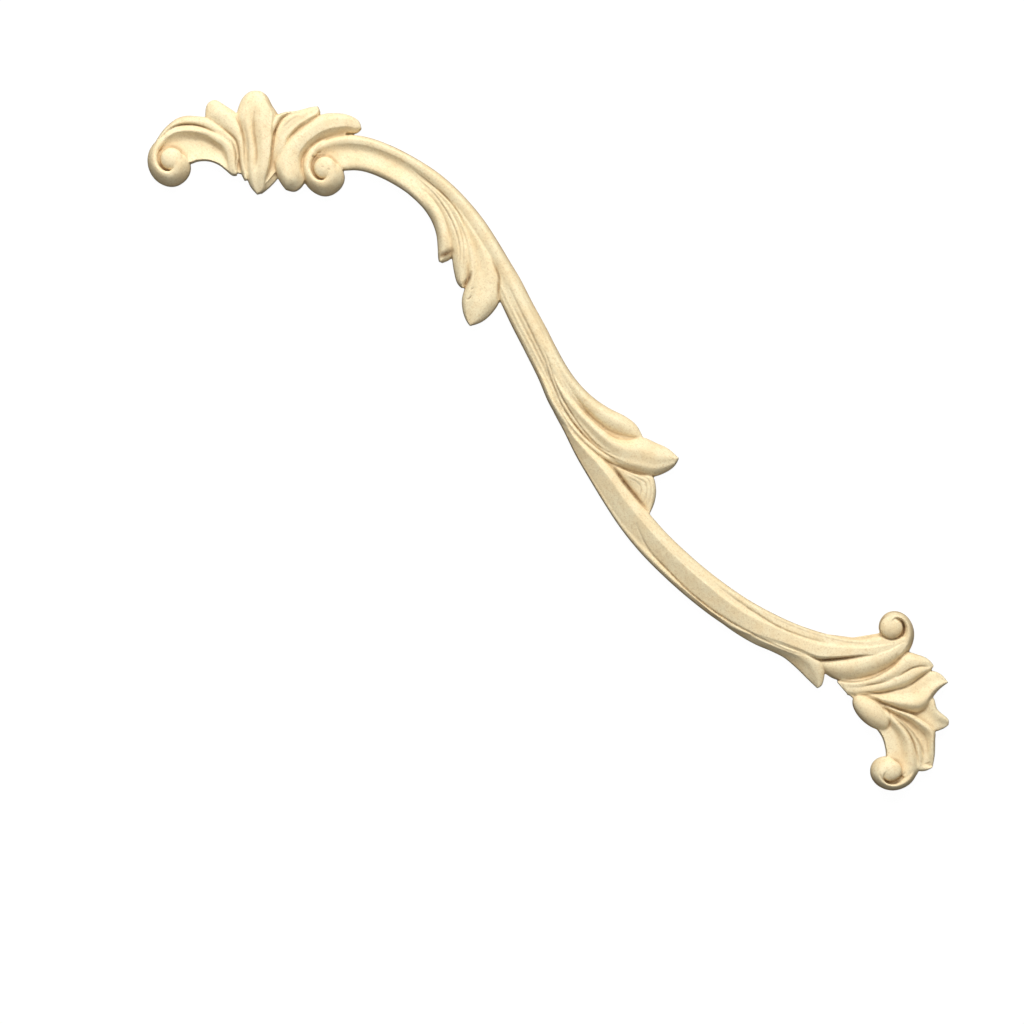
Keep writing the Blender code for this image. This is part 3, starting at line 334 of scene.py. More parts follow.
def first_arc(work):
    """The arched stem, the volute it starts from and the three fingers below it."""
    # the arched stem, which straightens to the right: a rounded rim above a gouged channel
    loft(work,
         [(-143, 10), (-141.5, 17), (-137, 24), (-130, 29.3), (-120, 33.2), (-110, 35.5),
          (-100, 36.8), (-92, 36.8), (-84, 36), (-75, 34.3), (-65, 31.3), (-57, 28.5),
          (-50, 26.1), (-40, 21.9), (-30, 18), (-20, 13.7), (-10, 9.9), (0, 6), (12, 2)],
         [(-134, 10), (-128, 14), (-124, 17.5), (-120, 19.7), (-112, 22.1), (-103, 23.3),
          (-96, 22.9), (-90, 22), (-82, 20.5), (-74, 18.5), (-66, 17.5), (-57, 17.5),
          (-50, 14.4), (-40, 9.8), (-30, 5.6), (-20, 1.2), (-10, -3.8), (0, -6.7), (12, -7)],
         [crisp(0, (3.4, 3.4, 3.4, 3.4, 3.4, 3.6, 3.6, 3.6, 3.4)),
          soft((0.14, 0.12, 0.11, 0.11, 0.2, 0.3, 0.3, 0.3, 0.3), (5.4, 6.4, 6.5, 6.6, 6.9, 7, 7, 6.6, 4)),
          crisp((0.26, 0.25, 0.23, 0.24, 0.42, 0.58, 0.6, 0.55, 0.5),
                (4.4, 6.1, 6.2, 6.2, 6.3, 6.3, 6.2, 5.2, 3.8)),
          soft((0.5, 0.46, 0.46, 0.52, 0.68, 0.76, 0.75, 0.72, 0.7),
               (3.9, 4.6, 4.7, 4.9, 5.4, 6, 6.1, 5.2, 3.8)),
          soft((0.88, 0.86, 0.86, 0.86, 0.88, 0.9), (3.9, 5.5, 5.6, 5.3, 4.8, 5.4, 5.5, 4.8, 3.6)),
          crisp(1, (3.8, 4.4, 4.3, 3.8, 3.8, 3.8, 3.8, 3.8, 3.6))])
    open_scroll(work, ARC_EYE, (11.8, 10.5, 9.8, 9.4, 9.4, 9.9, 10.5, 9.8, 8.5))
    # three acanthus fingers that peel away below the stem
    loft(work,
         [(-112, 28), (-103, 29.2), (-94.7, 28.5), (-86.6, 26.2), (-81.5, 22.9),
          (-77.8, 20), (-75.3, 17.4), (-74.8, 14.6), (-76.2, 11.4)],
         [(-112, 23.4), (-103, 23.3), (-96, 22.9), (-90, 21.2),
          (-85, 18.3), (-81, 14.4), (-79, 12.2), (-77.6, 11)],
         [crisp(0, (3.4, 4.8, 5.2, 4.6, 2.4)), soft((0.5, 0.55, 0.52, 0.7), (4, 5.4, 6.1, 6.2, 4.4)),
          crisp(1, (3.4, 3.8, 3.6, 3.6, 3.2))])
    loft(work,
         [(-110, 31.6), (-100, 32), (-93, 31.6), (-85, 29.6), (-78, 26.4),
          (-71.6, 22.6), (-67, 17.9), (-63.4, 12.9), (-63.4, 9.6)],
         [(-110, 29.2), (-102, 28.8), (-95, 27.9), (-87, 25.4),
          (-81.5, 21.5), (-75.2, 15.8), (-71, 12), (-67, 9.2), (-64.6, 8.8)],
         [crisp(0, (3.4, 4.8, 5.6, 5, 1.2)), soft((0.5, 0.45, 0.45, 0.65), (4, 5.4, 6.2, 6.7, 5)),
          crisp(1, (3.4, 4.8, 5.2, 4.4, 3.2))])
    loft(work,
         [(-106, 33.2), (-96, 33.4), (-88, 32.6), (-80, 31), (-72, 28.8), (-64, 26.1),
          (-58, 22.9), (-53.5, 18.6), (-50.3, 14.6), (-49.4, 9.5), (-50.2, 4), (-52.7, -0.2)],
         [(-106, 30.8), (-94, 30.4), (-85.4, 28.4), (-78.6, 25.2), (-72.9, 21.2),
          (-68.4, 16.8), (-64.6, 11.8), (-61.6, 5.6), (-58.2, 2.2), (-55, 0.4), (-52.7, -0.2)],
         [crisp(0, (3.4, 5, 5.6, 5.4, 4, 3)), soft((0.4, 0.35, 0.3, 0.3), (4, 5.4, 6, 6.4, 6.3, 3.2)),
          soft((0.55, 0.6, 0.64, 0.66), (4, 5.3, 5.5, 5.4, 5.4, 3.2)),
          soft((0.75, 0.8, 0.84, 0.86), (4, 5.6, 6.4, 6.5, 6, 3.2)), crisp(1, (3.4, 4.8, 5.4, 5, 3.8, 3))])
    # low ground between the fingers
    plate(work, [(-88, 26), (-79, 19.5), (-76, 17.8), (-70, 15.6),
                 (-66.8, 14.6), (-66.5, 18), (-73, 25)], 4.6)
    plate(work, [(-90, 25), (-80, 18.5), (-77, 17.4), (-75, 16.5), (-70, 15),
                 (-66, 13), (-63.6, 11), (-62, 20), (-70, 26)], 3.4)
    plate(work, [(-80, 19), (-78.5, 11.8), (-77.4, 11.4), (-76, 13), (-75.2, 15), (-75.2, 18)], 1.8)


def middle(work):
    """The straight stem's three strands and the leaves they run out in."""
    # upper strand, which swells into a humped leaf with a scooped side
    loft(work,
         [(-36, 20.3), (-24, 15.4), (-15, 11.9), (-9, 10.2), (-4, 9.4),
          (2, 9.2), (8, 9.9), (15, 11.5), (20, 11.6), (25.4, 9.4)],
         [(-36, 15.4), (-26, 10.4), (-20, 7.7), (-10, 4), (0, 1.8),
          (10, 0.4), (17, 1), (22, 4), (25.8, 8.6)],
         [crisp(0, (3.2, 3.6, 3.6, 3.7, 3.6)), soft((0.4, 0.38, 0.32, 0.32, 0.3), (4.6, 7, 7.1, 6.9, 4)),
          crisp((0.8, 0.74, 0.66, 0.62, 0.6), (4.4, 6.4, 6.4, 5.9, 3.9)),
          soft((0.9, 0.88, 0.84, 0.8), (4.2, 5.6, 5.2, 4.8, 3.8)), crisp(1, (4, 5.2, 5, 4.8, 3.8))])
    # middle strand, which swells into the pointed leaf
    loft(work,
         [(-36, 14.6), (-26, 10.6), (-20, 8.3), (-10, 4.9), (0, 3), (10, 2.2),
          (17, 2.9), (21, 5.2), (25, 9.6), (30, 11.2), (35, 12.5), (40.6, 12.3)],
         [(-36, 11.4), (-26, 6.4), (-20, 3.6), (-10, -1.6), (0, -3.8), (10, -5), (18, -5.6),
          (25, -5.2), (31, -3.2), (37.2, 0.2), (40.2, 5), (41.2, 9), (40.6, 12.3)],
         [crisp(0, (4.2, 5.4, 5.2, 5, 4.4, 3.4)),
          soft((0.3, 0.28, 0.28, 0.27, 0.38, 0.5), (4.6, 6.6, 7, 7.6, 8, 4.4)),
          soft((0.62, 0.6, 0.62, 0.72, 0.74, 0.75), (4.4, 5.9, 6, 6.1, 7.3, 4.2)),
          crisp(1, (4, 5.2, 5.2, 4.8, 4, 3.4))])
    # lower strand, which runs out under the pointed leaf
    loft(work,
         [(-36, 11.1), (-26, 6.6), (-20, 4), (-10, -1), (0, -3.1), (10, -4.2), (20, -3.6), (30, -1)],
         [(-36, 8.2), (-26, 4), (-20, 1.3), (-10, -3.6), (0, -6.9),
          (10, -8.2), (17, -7.6), (25, -6), (33, -2.8)],
         [crisp(0, (3.8, 5, 5.2, 5, 3.8)), soft(0.4, (4, 5.8, 6.2, 6.2, 4)),
          crisp(1, (3.4, 4.2, 4.6, 4.4, 3.8))])
    # round leaf in the fork
    loft(work,
         [(18, -6), (25, -4.6), (33, -1.8), (37.2, 0.6), (41.2, -2), (44, -6), (45.5, -10.6)],
         [(18, -8), (25, -9.4), (31, -10.8), (38, -12.4), (45.6, -12.6)],
         [crisp(0, (4.4, 4.8, 4.6, 3.4)), soft(0.2, (4.6, 5.7, 5.9, 4.4)),
          crisp(0.84, (4.2, 3.7, 3.6, 3.8)), crisp(1, 4)])


def second_arc(work):
    """The lower arc, its spur, the neck and the end volute."""
    # the lower arc of the stem, with a bead cut along each edge, up into the neck of the end volute
    loft(work,
         [(-14, 0), (-6, -2.8), (4, -5.8), (14, -6.2), (24, -6.9), (34, -9.2), (45, -11),
          (55, -12.5), (65, -13.2), (75, -13.4), (85, -13), (95, -12), (105, -10.1), (115, -7.4),
          (125, -3.5), (133, 0.7), (138, 4.6), (141.8, 9.2), (145, 11.8), (148.4, 14.4)],
         [(-14, -1.6), (-7, -5), (0, -7.8), (10, -12.2), (20, -15.8), (30, -19.2), (40, -22.2), (50, -24.3),
          (60, -25.5), (75, -26.2), (90, -25.7), (100, -24.2), (108, -21.3), (116, -17.8), (124, -14.8),
          (130, -12.8), (137, -6.8), (143, -1), (147.6, 3.6), (150.8, 8), (152.6, 12), (153, 15)],
         [crisp(0, (3.4, 4.8, 5, 4.6, 4.2, 4, 4, 5.6)),
          soft((0.16, 0.16, 0.15, 0.15, 0.13, 0.12, 0.16, 0.35), (3.6, 6, 6.6, 6.4, 6.1, 5.9, 6, 6.8)),
          soft((0.2, 0.22, 0.24, 0.25, 0.23, 0.22, 0.25, 0.5), (3.7, 6.4, 7, 6.9, 6.3, 5.8, 5.9, 7)),
          crisp((0.24, 0.3, 0.33, 0.34, 0.37, 0.46, 0.5, 0.6), (3.8, 6.7, 7.2, 7.1, 6.9, 6.6, 6.8, 7)),
          crisp((0.86, 0.86, 0.84, 0.82, 0.86, 0.88, 0.92, 0.9), (3.6, 4.6, 4.7, 4.5, 4.8, 6.5, 7, 6.6)),
          soft((0.93, 0.93, 0.92, 0.91, 0.93, 0.94, 0.96, 0.95), (3.6, 4.3, 4.3, 4.9, 5.1, 6.1, 6.5, 6.3)),
          crisp(1, (3.4, 3.8, 3.8, 3.6, 3.6, 5, 5.2, 5.6))])
    # spur below the neck
    loft(work,
         [(92, -23), (100, -21.2), (110, -18.4), (119.5, -15.6), (126.5, -12.6),
          (132, -12), (134.8, -14), (136.8, -16.9), (137.6, -19.2), (137, -21)],
         [(92, -25.4), (100, -24.8), (108, -23.4), (115, -21.3),
          (120, -20.2), (126, -20.2), (132, -20.7), (137, -21)],
         [crisp(0, (4.4, 5, 5.2, 4.8, 3.4)), soft((0.3, 0.28, 0.26, 0.3), (4.4, 5.4, 6.1, 6.2, 3.6)),
          crisp((0.6, 0.55, 0.5, 0.5), (4.3, 5.1, 5.8, 5.8, 3.6)), crisp(1, 3)])
    # outer lobe of the neck
    loft(work,
         [(130, -12.8), (133.4, -9.8), (136.5, -6.6), (139.6, -3.3),
          (142.6, 0), (146, 3.8), (148.8, 8.4), (150.4, 13)],
         [(131, -13.6), (135.3, -14.7), (140, -14), (145, -11),
          (150, -5.2), (153.2, 1), (154.4, 6.5), (154.6, 12)],
         [crisp(0, (4.2, 5, 6, 7.1, 7.2)), soft((0.35, 0.36, 0.33, 0.25, 0.25), (4.6, 6.4, 7, 7.3, 7.1)),
          crisp(1, 3.6)])
    scroll_eye(work, NECK_EYE, -35, 235, (13, 10.8, 9.2, 8, 7.2, 6.5, 5.8, 5.1, 4.7, 4.6),
               (5.8, 5.2, 4.9, 4.6, 4, 2.6, 0.6, -1, -1.5, -1.5), (3.2, 3.2, 3.2, 3.2, 3.4),
               ((0.35, 0.45, 0.55, 0.66, 0.78, 0.88, 0.95, 0.95), (6.9, 7.1, 7.4, 7.8, 8.2, 8.6, 8.7, 8.7)),
               (5.4, 5.4, 5.8, 6.6, 7.8, 8.5, 8.7, 8.7), (4.35, 6.2, 8.8), (0.9, 0))
    plate(work, [(128, -12.5), (142, -12.5), (150, -3), (152, 6), (151, 14),
                 (146, 18), (141, 17), (141.5, 10), (135, 2.4), (125, -4)], 4.4)


def right_fleuron(work):
    """The fronds, the bead and the hook that turns back below them."""
    # thin ground that ties the fronds together
    plate(work, [(141, -14.3), (146, -15.2), (151, -15.2), (155, -13), (166, -14), (173, -20),
                 (177, -31), (182, -31), (185, -26), (184.6, -20), (187.4, -15), (180, -5), (180, 0),
                 (173, 2), (171.5, 11), (165, 11), (164, 12), (156, 10), (152, 4), (147, -6)], 4.2)
    # four fronds, from the neck outwards
    loft(work,
         [(165.4, 14), (162, 14.6), (158, 13.4), (153.8, 11),
          (153.2, 5), (151.2, -1), (147.2, -7.5), (141.4, -13)],
         [(165.4, 14), (165.7, 11.6), (164.8, 8), (163.6, 3),
          (160.2, -2.6), (156, -8.2), (152, -12.7), (147.4, -15.6)],
         [crisp(0, (3.8, 4.2, 4.6, 4.6, 3.8)), soft((0.3, 0.28, 0.26, 0.3), (4.2, 6.8, 7, 6.6, 4.6)),
          crisp((0.62, 0.54, 0.48, 0.48), (4.1, 6.4, 6.4, 6.1, 4.6)),
          soft((0.8, 0.76, 0.72, 0.72), (4.2, 6.8, 6.8, 6.4, 4.6)), crisp(1, (3.6, 4.6, 5, 5, 3.8))])
    loft(work,
         [(173.7, 12.7), (169.3, 13.3), (166, 12), (163, 6), (159.6, 0), (155.2, -5.5), (150, -10.5)],
         [(173.7, 12.7), (172.8, 8.4), (172.9, 4), (173.6, 0),
          (172.2, -3.8), (169, -6), (165, -7.9), (160, -10), (152, -12.6)],
         [crisp(0, (3.8, 4.4, 4.6, 4.6, 4.4)), soft(0.3, (4, 5.2, 5.4, 5.2, 4.8)),
          soft((0.75, 0.75, 0.72), (4, 7, 7.6, 7, 5)), crisp(1, (3.6, 4.6, 4.8, 4.8, 4.4))])
    loft(work,
         [(184.1, 0.2), (182.9, 1.9), (177, 2.3), (173, 4.6), (168, 3)],
         [(184.1, 0.2), (183.3, -2.4), (181.2, -5.2), (176, -6), (168, -7.2)],
         [crisp(0, (3.6, 4.4, 4.8, 4)), soft(0.15, (3.8, 5.6, 5.8, 4)), soft(0.6, (3.8, 4.6, 4.5, 4)),
          crisp(1, (3.6, 4.2, 4.4, 4))])
    loft(work,
         [(189.8, -16), (187.3, -11.5), (184.3, -7.7), (181.3, -4.4),
          (176, -4.4), (170, -5.4), (165, -7.4), (158, -10)],
         [(189.8, -16), (188.3, -19), (186, -20.4), (183, -17.9),
          (179, -14.6), (174, -12.4), (168, -11.8), (158, -12.4)],
         [crisp(0, (3.6, 4.2, 4.8, 5, 4.6)), soft((0.14, 0.14, 0.2, 0.3), (4, 6.2, 6.9, 6.4, 5)),
          soft((0.52, 0.54, 0.58, 0.6), (3.7, 3.7, 3.9, 4.4, 4.6)), soft(0.86, (4, 5.5, 6, 6.1, 5)),
          crisp(1, (3.6, 5, 5.4, 5.4, 4.6))])
    # hook that turns back below the fronds
    loft(work,
         [(154, -10.9), (163, -10.4), (168, -10.2), (174, -11),
          (179, -13.2), (183.6, -16.9), (186.6, -20.2), (187, -25)],
         [(154, -17.3), (161, -18), (164.5, -18.5), (168, -19.6),
          (171, -21.6), (172.8, -23.2), (175, -26), (177, -27)],
         [crisp(0, (4.6, 4.8, 4.4, 4.2, 3.4)), soft((0.2, 0.2, 0.2, 0.22, 0.25), (4.8, 6.2, 6.6, 6.6, 6)),
          soft((0.5, 0.5, 0.52, 0.55, 0.6), (4.6, 4.5, 4.4, 4.4, 5.6)),
          crisp(1, (4.4, 4.8, 4.8, 4.8, 5.6))])
    scroll_eye(work, LAST_EYE, 45, -285, (10.4, 9.2, 8, 7.4, 7.2, 7.5, 7.8, 7.6, 6.6, 5.4, 4.4, 3.8),
               (5.8, 5.1, 4.9, 4.8, 4.5, 3, 0.4, -1, -1.5, -1.5, -1.5, -1.5),
               (3.2, 3.2, 3.2, 3.2, 3.2, 3.2, 3.2, 3.2, 3.4, 4.4, 5.4, 5.8),
               ((0.4, 0.46, 0.56, 0.68, 0.8, 0.88, 0.92, 0.95, 0.95),
                (5.8, 6.3, 6.8, 7.4, 8, 8.3, 8.4, 8.4, 8.4)),
               (5.4, 5.2, 5.4, 5.8, 7.2, 8.2, 8.4, 8.4, 8.4), (4, 6.2, 8.5), (0.6, -0.5))
    # oval bead that ties the neck to the hook
    dome(work, (158.4, -14.9), (8.6, 4.5), -3, 3.6, 8.2)


# Fine cuts, in millimetres: the points, the width, the depth and how dark the painted shade in the cut is.
# They fade at both ends.
CUTS = (
    # the thin cut round the hook
    ([(-188.6, -18), (-187.6, -14.9), (-186.2, -12.7), (-184.1, -10.6),
      (-181.8, -8.9), (-179.1, -7.6), (-176.8, -6.9), (-173.4, -6)], 0.4, 1, 0.9),
    # the creases of the two volutes at the left
    (around(HOOK_EYE, 190, 306, (4.8, 4.8)), 0.4, 0.15, 0.7),
    (around(ARC_EYE, 125, 310, (5, 4.6)), 0.45, 0.2, 0.9),
    # the strands between the hook and the lens
    ([(-168, -4.4), (-163.6, -6.9), (-160.7, -9.8), (-158.4, -12.6)], 0.4, 0.5, 0.6),
    ([(-174, -3.4), (-167.1, -3.2), (-164.7, -4.3), (-162.5, -6.2),
      (-158.7, -9.8), (-154.6, -12.2)], 0.4, 0.5, 0.6),
    ([(-173, 3.6), (-168.7, 1.8), (-165.6, -0.2), (-162.2, -3.2),
      (-158.8, -7), (-155.4, -10.2)], 0.4, 0.5, 0.5),
    # the lens's valley and the line on its left lobe
    ([(-169, 10.8), (-164.6, 5), (-160.4, 1), (-156.3, -3), (-153.2, -8)], 0.6, 0.6, 0.35),
    ([(-170, 6), (-166.4, 2.4), (-162, -1.2), (-157.6, -6.4), (-153.6, -10)], 0.5, 0.2, 0.35),
    # the ribbed leaf's lines and its border to the tall leaf
    ([(-153.4, 21.4), (-155.2, 19.6), (-157, 17.2), (-158, 14.6),
      (-157.7, 11.6), (-156.8, 8.5), (-155.1, 5.5), (-153, 2)], 0.45, 0.5, 0.4),
    ([(-153.6, 19.4), (-154.8, 17), (-155.4, 14.4), (-155.4, 11)], 0.5, 0.2, 0.4),
    ([(-147.6, 25), (-149.3, 21.9), (-150.1, 19.6), (-150.8, 17.1),
      (-151.3, 13.8), (-151.2, 9)], 0.5, 0.5, 0.4),
    # ribs of the second finger, which start on the arc
    ([(-108, 31.2), (-99.8, 31.5), (-93.9, 31.5), (-88.6, 31), (-83.3, 29.7), (-78, 27.2)], 0.35, 0.4, 0.7),
    ([(-104, 29.8), (-95.4, 29.4), (-89.3, 27.9), (-83.2, 25.6), (-77.6, 22.4), (-73.4, 18.6), (-70, 14)],
     0.35, 0.45, 0.6),
    ([(-104, 30.8), (-96, 30.5), (-88, 29.2), (-81, 26.4),
      (-75, 22.4), (-70.6, 17.6), (-67.4, 13)], 0.35, 0.34, 0.5),
    ([(-103, 27.6), (-96.4, 28), (-90, 26.6), (-84, 23.6), (-79.5, 20)], 0.4, 0.3, 0.5),
    # hollows at the tips of the first two fingers, darkened with painted shade
    ([(-79, 11.6), (-77.4, 14.6), (-75.8, 18.2)], 1.1, 0.4, 1),
    ([(-65.2, 8.8), (-64.3, 12), (-65.6, 16)], 0.8, 0.4, 0.9),
    # where the third finger leaves the stem
    ([(-62, 24), (-56.2, 21), (-53.4, 17.6), (-50.6, 14)], 0.5, 0.5, 0.6),
    # pits left by the mould in the eye of the arc's volute, at its throat and on the third finger
    ([(-134.8, 9.4), (-134.2, 10), (-133.6, 10.2)], 0.22, 0.25, 0.6),
    ([(-132.4, 10.6), (-131.8, 10.7), (-131.2, 11.2)], 0.22, 0.25, 0.6),
    ([(-139.6, 12.8), (-139, 13.4), (-138.6, 14.2)], 0.3, 0.4, 0.6),
    ([(-140.2, 10.4), (-139.4, 10.8), (-138.8, 11.4)], 0.3, 0.4, 0.6),
    ([(-59.8, 6.4), (-59.4, 7.6), (-59.6, 8.8)], 0.25, 0.3, 0.6),
    ([(-61.2, 10.2), (-60.9, 10.8), (-60.9, 11.6)], 0.22, 0.3, 0.6),
    # the stem's strands
    ([(-52, 21.2), (-42, 16.6), (-32, 12.2), (-22, 7.6), (-12, 3)], 0.45, 0.35, 0.5),
    ([(-46, 16.4), (-36, 12.2), (-26, 8), (-16, 3.4), (-8, 0.4)], 0.45, 0.35, 0.5),
    ([(-50, 24), (-38, 18.8), (-28, 14.8), (-18, 10.4)], 0.6, 0.12, 0.2),
    # the hump's scooped side
    ([(-16, 8.4), (-8, 4.8), (0.2, 3), (8.5, 2.8), (15.4, 3.6), (20.4, 6), (24.4, 9.2)], 0.5, 0.3, 0.4),
    # the two lines that run out on the pointed leaf
    ([(-26, 11), (-21.6, 8.8), (-14.8, 4.5), (-6.8, 0.7), (2.3, -2.2), (9.4, -3.7), (15.6, -3.9), (24, -2)],
     0.35, 0.5, 0.7),
    ([(-24, 8.6), (-14.4, 3), (-6.4, -1), (2.7, -3.7),
      (9.3, -4.7), (17.7, -4.6), (26, -2.8)], 0.35, 0.5, 0.8),
    ([(-14, -0.4), (-7, -2.4), (1, -5.2), (8.7, -6.4), (15.4, -6.6), (22, -6.4)], 0.4, 0.4, 0.5),
    # under the pointed leaf, the groove of the round leaf and the ribs along its outer edge
    ([(18, -6.4), (22.4, -5.9), (26.8, -4.6), (31.3, -3.1), (35.4, -0.8), (37.4, 0.8)], 0.4, 0.4, 0.7),
    ([(20, -6.2), (23.7, -6.5), (29.8, -8.1), (36.5, -9.4), (43.4, -10.6)], 0.7, 0.6, 0.9),
    ([(27, -4.6), (33, -2.6), (37, -1.6), (40.7, -4.4), (43.2, -9.8)], 0.35, 0.25, 0.4),
    ([(28, -5.2), (33.5, -3.8), (37, -3.4), (39.8, -6), (41.4, -9.8)], 0.35, 0.25, 0.4),
    ([(30, -6), (34.5, -5.2), (36.8, -5.8), (39, -9.6)], 0.35, 0.2, 0.4),
    # the dark line above the lower arc's bead, and a second one close to the edge
    ([(44, -17.4), (48, -19.4), (54.3, -21.9), (64.5, -23.2), (74.3, -24.1), (85.2, -24.1),
      (94.2, -23.2), (104.2, -21.3), (111, -19.7), (120.3, -16.9), (127, -13.4)], 0.4, 0.6, 0.8),
    ([(70, -25.2), (80, -25.3), (90, -24.9), (100, -23)], 0.35, 0.35, 0.6),
    # strands of the second arc towards the neck
    ([(82, -15.6), (94.7, -14.9), (104, -13.8), (111.7, -12.4), (120, -9.6), (130, -5)], 0.4, 0.45, 0.7),
    ([(100, -12.9), (112, -9.8), (122, -6.4), (129, -3.2), (136.8, 1.2), (141, 5)], 0.45, 0.3, 0.4),
    # the neck's crease and the lower border of its lobe
    ([(126, -13.8), (130.5, -12.4), (133.6, -9.6),
      (136.7, -6.5), (139.8, -3.2), (143.6, 1)], 0.45, 0.6, 0.9),
    ([(133, -14), (140.5, -13.8), (145, -11.2), (148.9, -7),
      (151.6, -2.4), (153.2, 2), (154, 7)], 0.4, 0.4, 0.7),
    # the end volute's crease
    ([(141.5, 18), (143.1, 18.4), (145.3, 18.6), (147.4, 17.6), (148.5, 15.7),
      (148.3, 13.4), (146.6, 11.1), (144.4, 10.1), (142, 10)], 0.45, 0.7, 0.7),
    # the line down the first frond, in two strokes
    ([(164.4, 12), (162.3, 11), (159.8, 8), (158.6, 5), (157.4, 1)], 0.35, 0.5, 0.7),
    ([(156.6, -0.5), (155, -3), (153, -5.6), (150, -9)], 0.35, 0.35, 0.5),
    # between the fronds
    ([(165.2, 10), (164.2, 6.4), (163, 1.8), (160.1, -2.7),
      (156.1, -7.5), (152.9, -9.8), (149.6, -13)], 0.4, 0.4, 0.6),
    ([(173.4, -1), (171.6, -4.7), (167.1, -6.9), (160.6, -9), (153, -11.7)], 0.45, 0.6, 0.6),
    ([(164, -10.2), (170.9, -10.3), (177.5, -11.3), (184.4, -14.6)], 0.6, 0.3, 0.6),
    ([(162.5, -10.6), (167.2, -10.8), (174.8, -12), (180.8, -15.2), (185.2, -18.6)], 0.4, 0.5, 0.6),
    # round the bead
    ([(150.6, -13.4), (153.6, -10.8), (157.8, -9.6), (162.4, -10),
      (165.6, -12.2), (167.6, -16)], 0.4, 0.3, 0.45),
    # the crease of the hook's volute
    ([(183, -23.6), (182.6, -26.4), (181.9, -29), (180.2, -31),
      (177.8, -31.6), (175.6, -30.6)], 0.45, 0.5, 0.8),
)


def baked(obj):
    """Mesh of an object with its modifiers worked in."""
    bpy.context.view_layer.update()
    return bpy.data.meshes.new_from_object(obj.evaluated_get(bpy.context.evaluated_depsgraph_get()))


def work_in(obj, kind, **settings):
    """Add one modifier, work it into the mesh and take it off again."""
    modifier = obj.modifiers.new(kind.title(), kind)
    for key, value in settings.items():
        setattr(modifier, key, value)
    mesh = baked(obj)
    obj.modifiers.clear()
    obj.data = mesh


def saw_back(mesh):
    """Cut the body off flat at the plane of its back and leave out any hollow closed in below the forms."""
    work = bmesh.new()
    work.from_mesh(mesh)
    everything = work.verts[:] + work.edges[:] + work.faces[:]
    bmesh.ops.bisect_plane(work, geom=everything, dist=1e-7, plane_co=(0, 0, 0), plane_no=(0, 0, 1),
                           clear_inner=True)
    shells = connected(work)
    for shell in sorted(shells, key=len)[:-1]:
        bmesh.ops.delete(work, geom=shell, context='VERTS')
    rim = [e for e in work.edges if e.is_boundary]
    back = bmesh.ops.holes_fill(work, edges=rim, sides=0)['faces']
    bmesh.ops.triangulate(work, faces=back)
    bmesh.ops.recalc_face_normals(work, faces=work.faces[:])
    work.to_mesh(mesh)
    work.free()


def connected(work):
    """Lists of the points that hang together."""
    left, shells = set(work.verts), []
    while left:
        reached = [left.pop()]
        for vertex in reached:
            near = [e.other_vert(vertex) for e in vertex.link_edges]
            fresh = [v for v in near if v in left]
            left.difference_update(fresh)
            reached.extend(fresh)
        shells.append(reached)
    return shells


def points_of(mesh):
    """Points of a mesh in millimetres."""
    flat = np.empty(len(mesh.vertices) * 3)
    mesh.vertices.foreach_get('co', flat)
    return flat.reshape(-1, 3) / MM


def put_points(mesh, points):
    """Move a mesh's points to the given ones, in millimetres."""
    mesh.vertices.foreach_set('co', (points * MM).ravel())
    mesh.update()


def cut_lines(points):
    """Press the fine cuts into the carved face."""
    for path, width, depth, _ in CUTS:
        near, gap, fade = nearness(points, path, width, CUT_FLOOR)
        points[near, 2] -= depth * fade * np.exp(-(gap / width) ** 2)


def shade_along_cuts(points):
    """How dark the painted shade is at each point, along the fine cuts."""
    dark = np.zeros(len(points))
    for path, width, _, cut_shade in CUTS:
        near, gap, fade = nearness(points, path, width, CUT_SHADE_FLOOR)
        dark[near] = np.maximum(dark[near], cut_shade * fade * np.exp(-(gap / width) ** 2))
    return dark


def nearness(points, path, width, floor):
    """Points above the floor near a cut, how far they lie from it and how strong it is there."""
    line = smooth_line(path, CUT_POINTS)
    strength = np.sin(np.linspace(0, np.pi, CUT_POINTS)) ** CUT_FADE
    low, high = line.min(axis=0) - 3 * width, line.max(axis=0) + 3 * width
    inside = (points[:, :2] > low) & (points[:, :2] < high)
    near = np.nonzero(inside.all(axis=1) & (points[:, 2] > floor))[0]
    gap, fade = np.empty(len(near)), np.empty(len(near))
    for part in np.array_split(np.arange(len(near)), max(1, len(near) // CHUNK)):
        reach = np.linalg.norm(points[near[part], None, :2] - line[None], axis=2)
        at = reach.argmin(axis=1)
        gap[part], fade[part] = reach[np.arange(len(part)), at], strength[at]
    return near, gap, fade


def hollowness(points):
    """How far each point lies below the mean of what is round it, on a narrow and on a wide circle."""
    low = points[:, :2].min(axis=0) - MAP_MARGIN
    cells = np.ceil((points[:, :2].max(axis=0) + MAP_MARGIN - low) / GRAIN).astype(int)
    cell = ((points[:, :2] - low) / GRAIN).astype(int)
    top = np.zeros(cells)
    np.maximum.at(top, (cell[:, 0], cell[:, 1]), points[:, 2])
    top = filled(top)
    inside = (top > 0).astype(float)
    values = []
    for radius in (NARROW, WIDE):
        mean = blurred(top, radius) / np.maximum(blurred(inside, radius), 1e-3)
        values.append((mean[cell[:, 0], cell[:, 1]] - points[:, 2]) / radius)
    return values


def filled(grid):
    """Close the empty cells between the mesh's points."""
    for _ in range(2):
        near = [np.roll(grid, shift, axis) for axis in (0, 1) for shift in (-1, 1)]
        grid = np.where(grid > 0, grid, np.max(near, axis=0))
    return grid


def blurred(grid, radius):
    """Gaussian blur, with the radius in millimetres."""
    fx = np.fft.fftfreq(grid.shape[0], GRAIN)[:, None]
    fy = np.fft.fftfreq(grid.shape[1], GRAIN)[None]
    return np.fft.ifft2(np.fft.fft2(grid) * np.exp(-2 * (np.pi * radius) ** 2 * (fx ** 2 + fy ** 2))).real


